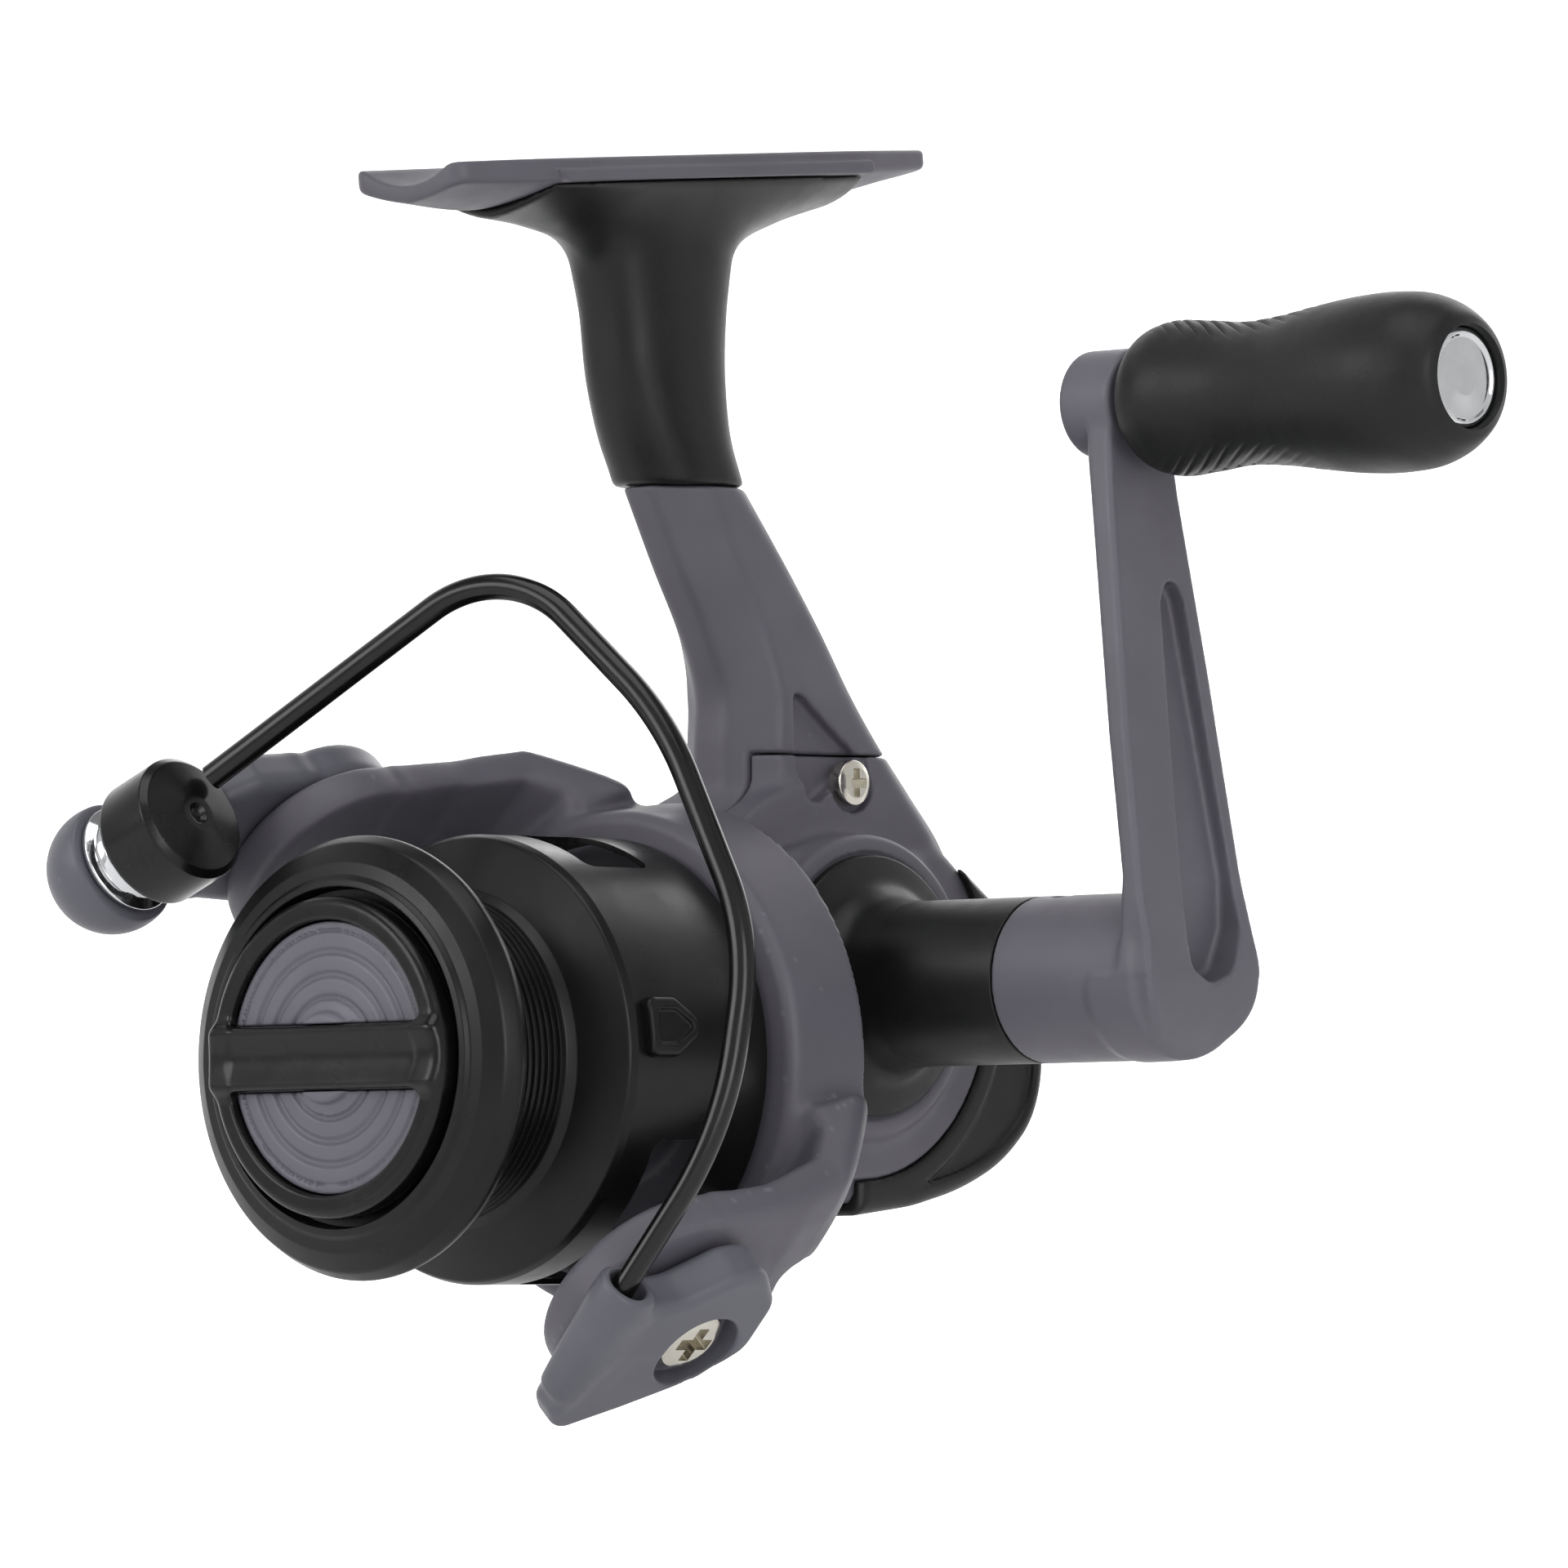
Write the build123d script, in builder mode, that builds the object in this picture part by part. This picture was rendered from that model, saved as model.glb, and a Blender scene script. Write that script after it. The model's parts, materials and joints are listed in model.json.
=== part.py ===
"""Open-face spinning reel, about the 1000 size, drawn piece by piece in millimetres.

The reel is drawn about its spool: the spool axis is Y with the spool in front at -Y, the handle
axis is parallel to X on the +X side, and the rod foot is above at +Z. Rotor and bail pieces are
drawn with the two rotor arms along X and turned to the resting angle at the end. Every piece is
then hung from the foot, so that in the finished part the origin is the centre of the foot's
flat top, +Z is square to it and the spool faces -Y.
"""
from build123d import *
from math import atan2, cos, degrees, hypot, pi, radians, sin
import os

os.makedirs("parts", exist_ok=True)

# ---- driving dimensions ----------------------------------------------------------------
FIT = 0.05                  # radial clearance of a running fit

FOOT_MID = (0, -13.9, 70.68)   # centre of the foot's top face, from the spool axis
FOOT_TILT = 4.6             # degrees the foot slopes against the spool axis
FOOT_LENGTH = 54.4
FOOT_THICK = 1.6            # at the long edges
GROOVE_R = 8.0              # saddle groove in the top of the front tip
GROOVE_DEEP = 1.5

HANDLE_Z = 5.9              # handle axis above the spool axis
SHAFT_R = 1.25              # main shaft
DRIVE_R = 2.4               # handle shaft
CASE_SIDE = 8.7             # half width of the gear case
CASE_WALL = 1.5
PARTING_X = 3.0             # plane where the side cover meets the body
DRUM_R = 11.8               # raised drum on each side, about the handle axis
CHEEK_R = 15.2              # edge of the side panels against the rear cap
CHEEK_X = 9.4
DRUM_X = 10.3
SEAM_Z = 24.2               # top edge of the side cover

GEAR_TEETH = 47
PINION_TEETH = 9
MESH_Y = 12.5               # distance from the handle axis to the gear mesh
TOOTH_MODULE = 2 * MESH_Y / GEAR_TEETH
PINION_PITCH_R = PINION_TEETH * TOOTH_MODULE / 2
CAM_TEETH = 23              # oscillation gear
CAM_DRIVER_TEETH = 13
CAM_Y = 9.24
CAM_Z = 2.4
CAM_MODULE = 2 * hypot(CAM_Y, HANDLE_Z - CAM_Z) / (CAM_TEETH + CAM_DRIVER_TEETH)
CAM_DRIVER_PHASE = atan2(CAM_Z - HANDLE_Z, CAM_Y)
CAM_PHASE = CAM_DRIVER_PHASE + pi + pi / CAM_TEETH
STROKE = 10.0               # spool travel
TOOTH_TIP_X = PINION_PITCH_R - 0.85 * TOOTH_MODULE
TOOTH_BASE_X = PINION_PITCH_R + 1.1 * TOOTH_MODULE

ROTOR_TURN = 45             # resting angle of the rotor about the spool axis
ROTOR_R = 20.3
ARM_IN = 22.3               # inner and outer faces of the rotor arms
ARM_OUT = 26.0
BAIL_Y = -30.8              # bail pivot axis
BAIL_Q = -1.5
LEVER_OUT = 30.2            # outer face of the bail levers
WIRE_R = 1.0

LIP_Y = -46.6               # front lip of the spool
LIP_R = 17.05
SKIRT_R = 17.35
SKIRT_END = -19.4
KNOB_RING_R = 12.3
KNOB_DISC_R = 10.5

HUB_R = 6.48                # handle collar and hub
HUB_START = 28.85
ARM_LENGTH = 44.3           # handle axis to knob axis
CRANK_X = 39.6              # knob seat
KNOB_END = 72.0
KNOB_Z = HANDLE_Z + ARM_LENGTH

# ---- placing ---------------------------------------------------------------------------
HANG = Location((0, 0, 0), (-FOOT_TILT, 0, 0)) * Location((0, -FOOT_MID[1], -FOOT_MID[2]))
ROTOR_REST = HANG * Location((0, 0, 0), (0, ROTOR_TURN, 0))
FOOT_PLANE = Plane(HANG.inverse())
HANDLE_AXIS = Axis((0, 0, HANDLE_Z), (1, 0, 0))
KNOB_AXIS = Axis((0, 0, KNOB_Z), (1, 0, 0))
BAIL_AXIS = Axis((0, BAIL_Y, BAIL_Q), (1, 0, 0))

# the line roller lies across the rotor arm, leaning in towards the spool
ROLLER_SEAT = (-28.0, -48.8, -6.6)
ROLLER_LEAN = 22.0
ROLLER_DIR = (sin(radians(ROLLER_LEAN)), 0, cos(radians(ROLLER_LEAN)))
ROLLER = Plane(origin=ROLLER_SEAT, x_dir=(0, 1, 0), z_dir=ROLLER_DIR)


def save(piece, name, place=HANG):
    """Label a piece, put it in the finished frame and write its STEP file."""
    piece.part.label = name
    placed = place * piece.part
    placed.label = name
    export_step(placed, f"parts/{name}.step")


def lathe(plane, points, axis):
    """Revolve a closed outline inside the current part."""
    with BuildSketch(plane) as outline:
        with BuildLine():
            Polyline(*points, close=True)
        make_face()
    revolve(outline.sketch, axis=axis)


def ring_about_x(x0, x1, outer, inner, centre_z=HANDLE_Z, centre_y=0.0, mode=Mode.ADD):
    """A plain ring or disc about an axis parallel to X."""
    with BuildSketch(Plane.YZ.offset(x0)) as section:
        with Locations((centre_y, centre_z)):
            Circle(outer)
            if inner > 0:
                Circle(inner, mode=Mode.SUBTRACT)
    extrude(section.sketch, amount=x1 - x0, mode=mode)


def ring_about_y(y0, y1, outer, inner, mode=Mode.ADD):
    """A plain ring or disc about the spool axis."""
    with BuildSketch(Plane.XZ.offset(-y0)) as section:
        Circle(outer)
        if inner > 0:
            Circle(inner, mode=Mode.SUBTRACT)
    extrude(section.sketch, amount=y0 - y1, mode=mode)


def slab(x0, x1, outline, mode=Mode.ADD):
    """A side-view outline, given as (y, z), made solid from x0 to x1."""
    with BuildSketch(Plane.YZ.offset(x0)) as section:
        with BuildLine():
            Polyline(*outline, close=True)
        make_face()
    extrude(section.sketch, amount=x1 - x0, mode=mode)


def spur_outline(teeth, module, thin=0.12, phase=0.0):
    """Corner points of a straight-flanked spur gear about the origin."""
    pitch_r = teeth * module / 2
    tip_r = pitch_r + 0.9 * module
    root_r = pitch_r - 1.15 * module
    half_pitch = pi / teeth / 2
    slack = thin / pitch_r
    points = []
    for tooth in range(teeth):
        middle = phase + 2 * pi * tooth / teeth
        for r, half in (
            (root_r, 1.45 * half_pitch - slack),
            (pitch_r, half_pitch - slack),
            (tip_r, 0.5 * half_pitch - slack / 2),
        ):
            points.append((r, middle - half))
        for r, half in (
            (tip_r, 0.5 * half_pitch - slack / 2),
            (pitch_r, half_pitch - slack),
            (root_r, 1.45 * half_pitch - slack),
        ):
            points.append((r, middle + half))
    return [(r * cos(a), r * sin(a)) for r, a in points]


def cross_recess(plane, size, depth):
    """Cut a cross recess into the current part, on the plane of a screw head."""
    with BuildSketch(plane) as cross:
        Rectangle(size, 0.28 * size)
        Rectangle(0.28 * size, size)
    extrude(cross.sketch, amount=-depth, mode=Mode.SUBTRACT)


# ---- foot, stem and gear case ----------------------------------------------------------
# foot sections along its length: place, half width at the top, depth of the keel
FOOT_SECTIONS = (
    (-FOOT_LENGTH / 2, 5.6, 3.0), (-20.0, 7.1, 3.9), (-14.0, 7.5, 4.7), (0.0, 7.5, 5.4),
    (10.0, 7.5, 4.9), (17.0, 7.2, 4.2), (FOOT_LENGTH / 2, 5.6, 2.4),
)
FOOT_WIDTH = 2 * max(half for y, half, keel in FOOT_SECTIONS)

with BuildPart() as foot:
    for y, half, keel in FOOT_SECTIONS:
        across = Plane(FOOT_PLANE.location * Location((0, y, 0), (90, 0, 0)))
        with BuildSketch(across):
            with BuildLine():
                Polyline(
                    (-half, 0), (half, 0), (half, -FOOT_THICK), (0.4 * half, -keel),
                    (-0.4 * half, -keel), (-half, -FOOT_THICK), close=True,
                )
            make_face()
    loft(ruled=True)
    # saddle groove that runs out along the top of the front tip
    groove = Location((0, -FOOT_LENGTH / 2, GROOVE_R - GROOVE_DEEP), (90 + degrees(GROOVE_DEEP / 13), 0, 0))
    with Locations(FOOT_PLANE.location * groove):
        Cylinder(GROOVE_R, 27, mode=Mode.SUBTRACT)

# stem sections from the seam up to the grip: height, nose, side from and to, back, half width
STEM = (
    (12.0, -7.6, -4.1, 11.0, 14.0, 8.6),
    (17.6, -7.4, -4.1, 9.9, 12.8, 8.2),
    (21.4, -7.2, -4.1, 7.3, 10.0, 7.2),
    (25.0, -7.1, -4.2, 5.8, 8.2, 6.2),
    (28.6, -6.4, -4.0, 3.7, 6.0, 5.2),
    (34.0, -8.5, -5.0, 0.5, 2.8, 4.6),
    (38.8, -11.9, -7.8, -3.0, -0.7, 4.4),
    (45.0, -15.3, -11.1, -7.8, -5.1, 4.2),
)
NOSE_HALF = 1.5


def stem_section(z, nose, front, rear, back, half):
    """One eight-sided section of the stem."""
    front_half = min(half, 5.2)
    back_half = half - 2.0
    with BuildSketch(Plane.XY.offset(z)) as section:
        with BuildLine():
            Polyline(
                (-NOSE_HALF, nose), (NOSE_HALF, nose), (front_half, front), (half, rear),
                (back_half, back), (-back_half, back), (-half, rear), (-front_half, front),
                close=True,
            )
        make_face()
    return section.sketch


# side outlines of the gear case as (y, z)
CASE = (
    (-16.4, -8.6), (-13.0, -11.0), (1.0, -11.2), (11.2, -9.9), (15.9, -7.9), (18.8, -4.9),
    (20.3, -1.0), (20.3, 5.4), (18.8, 9.3), (15.4, 12.2), (11.4, 15.8), (-7.4, 16.4),
    (-11.0, 15.2), (-16.4, 15.2),
)
CAVITY = (
    (-14.9, -7.6), (-12.4, -9.5), (1.0, -9.7), (10.7, -8.4), (15.0, -6.6), (17.5, -4.0),
    (18.8, -0.8), (18.8, 5.0), (17.6, 8.2), (14.2, 10.5), (11.2, 13.2), (-6.8, 14.8),
    (-10.0, 13.8), (-14.9, 13.8),
)
CAP_OUT = (
    (-0.6, -12.2), (1.0, -12.1), (6.6, -11.3), (12.4, -10.0), (17.0, -8.0), (20.2, -5.3),
    (21.9, -1.9), (22.0, 5.8), (20.2, 10.3), (15.6, 13.4), (12.2, 15.8), (11.0, 12.0),
    (8.0, -6.0), (-0.6, -8.0),
)

# cover screws: place in the side view and outer face of the head
COVER_SCREWS = ((2.2, 22.0, 7.5), (11.4, -7.3, 8.4), (-12.4, -7.8, 8.4))
COVER_HEAD_R = 1.8
DIMPLE = ((-2.6, 28.7), (-1.2, 28.8), (3.5, 24.4), (-1.3, 20.7), (-2.7, 21.7))
GUIDE_X = -1.6
GUIDE_Z = -4.0
GUIDE_R = 0.8

with BuildPart() as guide_rod:
    with BuildSketch(Plane.XZ.offset(14.5)):
        with Locations((GUIDE_X, GUIDE_Z)):
            Circle(GUIDE_R)
    extrude(amount=-33.1)

with BuildPart() as case_block:
    slab(-CASE_SIDE, CASE_SIDE, CASE)
    ring_about_x(-6.2, 6.2, 16.2, 0)
    loft([stem_section(*section) for section in STEM], ruled=True)
    # side cheeks and raised drums, cut off where the rotor skirt turns
    for radius, reach, top in ((CHEEK_R, CHEEK_X, 9.0), (DRUM_R, DRUM_X, 30.0)):
        with BuildSketch(Plane.YZ.offset(-reach)):
            with Locations((0, HANDLE_Z)):
                Circle(radius)
            with Locations((-20.9, HANDLE_Z)):
                Rectangle(20, 40, mode=Mode.SUBTRACT)
            with Locations((0, top + 20)):
                Rectangle(60, 40, mode=Mode.SUBTRACT)
        extrude(amount=2 * reach)
    # front boss that carries the one-way clutch inside the rotor tower
    ring_about_y(-21.9, -16.3, 7.6, 0)

with BuildPart() as casing:
    add(case_block.part)
    # hollow for the gears, with a deeper slot for the drive gear
    slab(CASE_WALL - CASE_SIDE, CASE_SIDE - CASE_WALL, CAVITY, mode=Mode.SUBTRACT)
    for y, z, head in COVER_SCREWS[1:]:
        ring_about_x(CASE_WALL - CASE_SIDE - 0.2, CASE_SIDE - CASE_WALL + 0.2, 1.9, 0, z, y)
    slab(-5.6, 1.2, ((-14.9, -5.6), (-13.4, -5.6), (-13.4, 5.6), (-14.9, 5.6)))
    ring_about_x(1.2, 5.0, 14.9, 0, mode=Mode.SUBTRACT)
    # seats for the pinion bearing, the one-way clutch and the guide rod
    ring_about_y(-21.9, -18.1, 6.4, 0, mode=Mode.SUBTRACT)
    ring_about_y(-18.2, -14.6, 4.5, 0, mode=Mode.SUBTRACT)
    ring_about_y(-15.0, -13.0, 3.3, 0, mode=Mode.SUBTRACT)
    add(guide_rod.part, mode=Mode.SUBTRACT)
    # handle bores
    ring_about_x(-DRUM_X, -7.0, 3.9, 0, mode=Mode.SUBTRACT)
    ring_about_x(7.0, DRUM_X, 3.9, 0, mode=Mode.SUBTRACT)

with BuildPart() as cover_zone:
    with Locations((PARTING_X + 10, 7.6, SEAM_Z - 25)):
        Box(20, 44.8, 50)

with BuildPart() as side_cover:
    add(casing.part)
    add(cover_zone.part, mode=Mode.INTERSECT)
    # three-cornered dimple across the seam, and the screw seat
    slab(4.2, 12.0, DIMPLE, Mode.SUBTRACT)
    with Locations((5.9, COVER_SCREWS[0][0], SEAM_Z - 2.4)):
        Box(1.8, 4.6, 4.8)
    for y, z, head in COVER_SCREWS:
        ring_about_x(head - 1.2, 12.0, COVER_HEAD_R + 0.15, 0, z, y, Mode.SUBTRACT)
        ring_about_x(2.0, 12.0, 0.9, 0, z, y, Mode.SUBTRACT)

with BuildPart() as body_shell:
    add(casing.part)
    add(cover_zone.part, mode=Mode.SUBTRACT)
    slab(4.2, 12.0, DIMPLE, Mode.SUBTRACT)
    for y, z, head in COVER_SCREWS:
        ring_about_x(-1.0, PARTING_X + 0.1, 0.9, 0, z, y, Mode.SUBTRACT)
    # core that runs up inside the grip to the foot
    with BuildSketch(Plane.XY.offset(44.9)):
        with Locations((0, -11.2)):
            RectangleRounded(4.4, 6.0, 1.5)
    with BuildSketch(Plane.XY.offset(64.4)):
        with Locations((0, -13.4)):
            RectangleRounded(4.4, 7.0, 1.5)
    loft()
    # ears for the anti-reverse lever
    for x in (-5.0, -0.4):
        slab(x, x + 1.4, ((-8.9, -11.0), (-8.0, -14.2), (-5.2, -14.2), (-4.0, -11.0)))
    ring_about_x(-5.2, 1.2, 0.85, 0, -12.9, -6.5, Mode.SUBTRACT)

with BuildPart() as rear_cap:
    slab(-9.6, 9.6, CAP_OUT)
    fillet(rear_cap.edges().filter_by(Axis.X).group_by(Axis.Y)[-1], 1.5)
    add(case_block.part, mode=Mode.SUBTRACT)
    ring_about_x(-20, 20, CHEEK_R + 0.05, 0, mode=Mode.SUBTRACT)

with BuildPart() as stem_grip:
    for z, y, length, width in (
        (45.1, -10.3, 10.3, 8.6), (48.0, -11.7, 10.7, 8.5), (53.0, -12.9, 11.7, 8.4),
        (59.0, -13.3, 12.9, 8.6), (63.0, -13.5, 15.6, 9.4), (65.0, -13.5, 20.0, 10.6),
    ):
        with BuildSketch(Plane.XY.offset(z)):
            with Locations((0, y)):
                RectangleRounded(width, length, 0.42 * width)
    loft()
    with BuildSketch(Plane.XY.offset(65.0)):
        with Locations((0, -13.5)):
            RectangleRounded(10.6, 20.0, 0.42 * 10.6)
    with BuildSketch(FOOT_PLANE.offset(-FOOT_THICK)):
        with Locations((0, -0.6)):
            RectangleRounded(13.0, 34.4, 5.0)
    loft()
    add(foot.part, mode=Mode.SUBTRACT)
    add(body_shell.part, mode=Mode.SUBTRACT)

with BuildPart() as handle_boss:
    lathe(
        Plane.XZ.offset(0),
        ((DRUM_X, HANDLE_Z + 2.6), (DRUM_X, HANDLE_Z + 10.3), (11.2, HANDLE_Z + 10.3),
         (11.6, HANDLE_Z + 9.9), (11.8, HANDLE_Z + 8.2), (12.6, HANDLE_Z + 7.1),
         (14.2, HANDLE_Z + HUB_R), (HUB_START - 0.15, HANDLE_Z + HUB_R),
         (HUB_START - 0.15, HANDLE_Z + 2.6)),
        HANDLE_AXIS,
    )

with BuildPart() as left_cap:
    lathe(
        Plane.XZ.offset(0),
        ((-DRUM_X, HANDLE_Z), (-DRUM_X, HANDLE_Z + 10.3), (-11.4, HANDLE_Z + 10.3),
         (-12.2, HANDLE_Z + 9.4), (-12.6, HANDLE_Z + 7.0), (-14.0, HANDLE_Z + 6.2),
         (-14.0, HANDLE_Z + 5.4), (-13.2, HANDLE_Z + 4.8), (-13.2, HANDLE_Z)),
        HANDLE_AXIS,
    )

with BuildPart() as cover_screws:
    for y, z, head in COVER_SCREWS:
        ring_about_x(head - 1.2, head, COVER_HEAD_R, 0, z, y)
        ring_about_x(-1.0, head - 1.1, 0.9, 0, z, y)
        cross_recess(Plane(origin=(head, y, z), x_dir=(0, 1, 0), z_dir=(1, 0, 0)), 2.3, 0.6)

with BuildPart() as drive_bushes:
    ring_about_x(-9.4, -7.2, 3.9, DRIVE_R + FIT)
    ring_about_x(7.2, DRUM_X, 3.9, DRIVE_R + FIT)

# ---- handle train ----------------------------------------------------------------------
with BuildPart() as handle_shaft:
    ring_about_x(-9.4, 38.0, DRIVE_R, 0)

with BuildPart() as drive_gear:
    ring_about_x(TOOTH_BASE_X, 4.6, 14.45, DRIVE_R)
    ring_about_x(4.6, 6.8, 4.4, DRIVE_R)
    # lightening dish between hub and rim
    ring_about_x(3.9, 4.6, 11.8, 5.6, mode=Mode.SUBTRACT)
    tooth_pitch = 2 * pi * MESH_Y / GEAR_TEETH
    with BuildSketch(Plane.XZ.offset(MESH_Y - 0.75)) as tooth_shape:
        with BuildLine():
            Polyline(
                (TOOTH_BASE_X + 0.05, -0.33 * tooth_pitch), (TOOTH_BASE_X + 0.05, 0.33 * tooth_pitch),
                (TOOTH_TIP_X, 0.1 * tooth_pitch), (TOOTH_TIP_X, -0.1 * tooth_pitch), close=True,
            )
        make_face()
    tooth = extrude(amount=1.5, mode=Mode.PRIVATE)
    turns = [Location((0, 0, HANDLE_Z), (360 * n / GEAR_TEETH, 0, 0)) for n in range(GEAR_TEETH)]
    add([turn * Location((0, 0, -HANDLE_Z)) * tooth for turn in turns])

with BuildPart() as cam_driver:
    with BuildSketch(Plane(origin=(-7.0, 0, HANDLE_Z), x_dir=(0, 1, 0), z_dir=(1, 0, 0))):
        with BuildLine():
            Polyline(*spur_outline(CAM_DRIVER_TEETH, CAM_MODULE, phase=CAM_DRIVER_PHASE), close=True)
        make_face()
        Circle(DRIVE_R, mode=Mode.SUBTRACT)
    extrude(amount=1.6)

# cranked blade of the handle, seen from the side along the spool axis, and seen end on
BLADE_SIDE = (
    (30.0, HANDLE_Z - HUB_R), (39.3, HANDLE_Z - HUB_R), (41.9, 0.2), (43.7, 1.9), (44.7, 4.0),
    (45.1, 6.9), (44.1, 12.8), (42.35, 24.4), (39.5, 44.0), (38.9, KNOB_Z + 3.6), (36.3, KNOB_Z + 3.6),
    (36.9, 46.0), (40.3, 24.4), (42.1, 13.2), (42.1, HANDLE_Z), (30.0, HANDLE_Z),
)
BLADE_FRONT = (
    (-6.5, HANDLE_Z), (-6.5, 11.5), (-5.75, 24.4), (-4.2, 43.0), (-3.7, KNOB_Z),
    (3.6, KNOB_Z), (3.75, 44.5), (4.95, 28.6), (5.7, 14.1), (6.48, HANDLE_Z),
)
BLADE_POCKET = (
    (-1.7, 8.4), (0.2, 34.6), (1.0, 36.1), (2.2, 36.2), (3.0, 35.0), (4.7, 9.6), (3.6, 6.6),
    (1.2, 5.5), (-1.0, 6.4),
)

with BuildPart() as blade_front:
    slab(28.0, 46.0, BLADE_FRONT)
    ring_about_x(28.0, 46.0, HUB_R, 0)
    ring_about_x(28.0, 46.0, 3.65, 0, KNOB_Z)

with BuildPart() as handle_arm:
    with BuildSketch(Plane.XZ.offset(-10)):
        with BuildLine():
            Polyline(*BLADE_SIDE, close=True)
        make_face()
    extrude(amount=20)
    add(blade_front.part, mode=Mode.INTERSECT)
    ring_about_x(HUB_START, 42.1, HUB_R, 0)
    ring_about_x(34.2, CRANK_X - 0.3, 4.15, 0, KNOB_Z)
    # long tapered pocket in the outer face
    slab(42.9, 50.0, BLADE_POCKET[:1] + BLADE_POCKET[5:], Mode.SUBTRACT)
    with BuildSketch(Plane.XZ.offset(-5)) as pocket_side:
        with BuildLine():
            Polyline((42.9, 8.0), (41.2, 24.4), (39.4, 36.5), (50, 36.5), (50, 8.0), close=True)
        make_face()
    with BuildSketch(Plane.YZ.offset(36.0)) as pocket_front:
        with BuildLine():
            Polyline(*BLADE_POCKET, close=True)
        make_face()
    pocket = extrude(pocket_side.sketch, amount=10, mode=Mode.PRIVATE)
    pocket = pocket & extrude(pocket_front.sketch, amount=14, mode=Mode.PRIVATE)
    add(pocket, mode=Mode.SUBTRACT)
    ring_about_x(HUB_START - 1, 38.0, DRIVE_R, 0, mode=Mode.SUBTRACT)
    ring_about_x(35.6, 45, 1.5, 0, KNOB_Z, mode=Mode.SUBTRACT)

with BuildPart() as knob_post:
    ring_about_x(35.6, CRANK_X + 26.0, 1.5, 0, KNOB_Z)
    ring_about_x(CRANK_X + 26.0, CRANK_X + 27.4, 2.6, 0, KNOB_Z)

with BuildPart() as knob_grip:
    lathe(
        Plane.XZ.offset(0),
        ((CRANK_X, KNOB_Z + 1.5 + FIT), (CRANK_X, KNOB_Z + 2.8), (CRANK_X + 0.7, KNOB_Z + 4.2),
         (CRANK_X + 2.0, KNOB_Z + 5.7), (44.0, KNOB_Z + 6.1), (50.0, KNOB_Z + 5.55),
         (56.0, KNOB_Z + 6.05), (62.0, KNOB_Z + 6.8), (66.0, KNOB_Z + 6.85),
         (69.4, KNOB_Z + 6.2), (71.3, KNOB_Z + 5.1), (KNOB_END, KNOB_Z + 4.1),
         (KNOB_END - 0.8, KNOB_Z + 3.85), (KNOB_END - 3, KNOB_Z + 3.85), (KNOB_END - 3, KNOB_Z + 2.9),
         (CRANK_X + 25.7, KNOB_Z + 2.9), (CRANK_X + 25.7, KNOB_Z + 1.5 + FIT)),
        KNOB_AXIS,
    )

with BuildPart() as knob_cap:
    ring_about_x(KNOB_END - 2.9, KNOB_END - 0.7, 3.85, 0, KNOB_Z)
    fillet(knob_cap.edges().group_by(Axis.X)[-1], 0.4)

# ---- bearing, clutch and pinion --------------------------------------------------------
with BuildPart() as pinion_bearing:
    ring_about_y(-17.7, -14.7, 4.5, 4.0)

with BuildPart() as bearing_balls:
    for n in range(10):
        with Locations(Location((0, -16.2, 0), (0, 36 * n, 0)) * Location((3.5, 0, 0))):
            Sphere(0.45)

with BuildPart() as bearing_race:
    ring_about_y(-17.7, -14.7, 3.0, 2.45)

with BuildPart() as clutch_ring:
    ring_about_y(-21.7, -18.1, 6.4, 4.85)

with BuildPart() as clutch_rollers:
    for n in range(8):
        with Locations(Location((0, -18.5, 0), (0, 45 * n, 0)) * Location((4.09, 0, 0), (90, 0, 0))):
            Cylinder(0.7, 2.8, align=(Align.CENTER, Align.CENTER, Align.MIN))

with BuildPart() as clutch_sleeve:
    ring_about_y(-22.0, -18.0, 3.33, 2.45)

with BuildPart() as pinion_gear:
    with BuildSketch(Plane.XZ.offset(11.3)):
        with BuildLine():
            Polyline(*spur_outline(PINION_TEETH, TOOTH_MODULE, phase=pi / PINION_TEETH), close=True)
        make_face()
    extrude(amount=2.4)
    ring_about_y(-26.4, -13.7, 2.45, 0)
    ring_about_y(-11.3, -9.6, 2.2, 0)
    ring_about_y(-27.0, -9.0, SHAFT_R + FIT, 0, mode=Mode.SUBTRACT)

with BuildPart() as rotor_nut:
    with BuildSketch(Plane.XZ.offset(23.9)):
        RegularPolygon(3.9, 6)
        Circle(2.45, mode=Mode.SUBTRACT)
    extrude(amount=2.4)

# ---- rotor ------------------------------------------------------------------------------
# one arm: profile seen across the spool axis, cut by its outline seen from the side
ARM_PROFILE = (
    (17.0, -11.5), (20.3, -11.5), (22.4, -12.6), (24.2, -16.0), (25.6, -21.5), (ARM_OUT, -28.0),
    (ARM_OUT, -41.4), (ARM_IN, -41.4), (ARM_IN, -25.0), (21.2, -19.6), (18.9, -17.8), (17.0, -17.8),
)
ARM_OUTLINE = (
    (-11.5, 0.5), (-11.5, 14.2), (-14.5, 13.2), (-19.0, 10.8), (-24.0, 8.7), (BAIL_Y, 7.6),
    (BAIL_Y, -10.2), (-22.5, -8.7), (-17.2, -7.2), (-15.4, -5.0), (-18.0, -1.6), (-19.0, 1.2),
    (-17.0, 2.0),
)
with BuildPart() as arm_side:
    with BuildSketch(Plane.XY.offset(-20)):
        with BuildLine():
            Polyline(*ARM_PROFILE, close=True)
        make_face()
    extrude(amount=40)

# the arms stay inside this turned outline, which meets the rear rim of the rotor
with BuildPart() as arm_limit:
    lathe(Plane.XY, ((0, -42.0), (27.0, -42.0), (27.0, -18.4), (21.0, -11.5), (0, -11.5)), Axis.Y)

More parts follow.
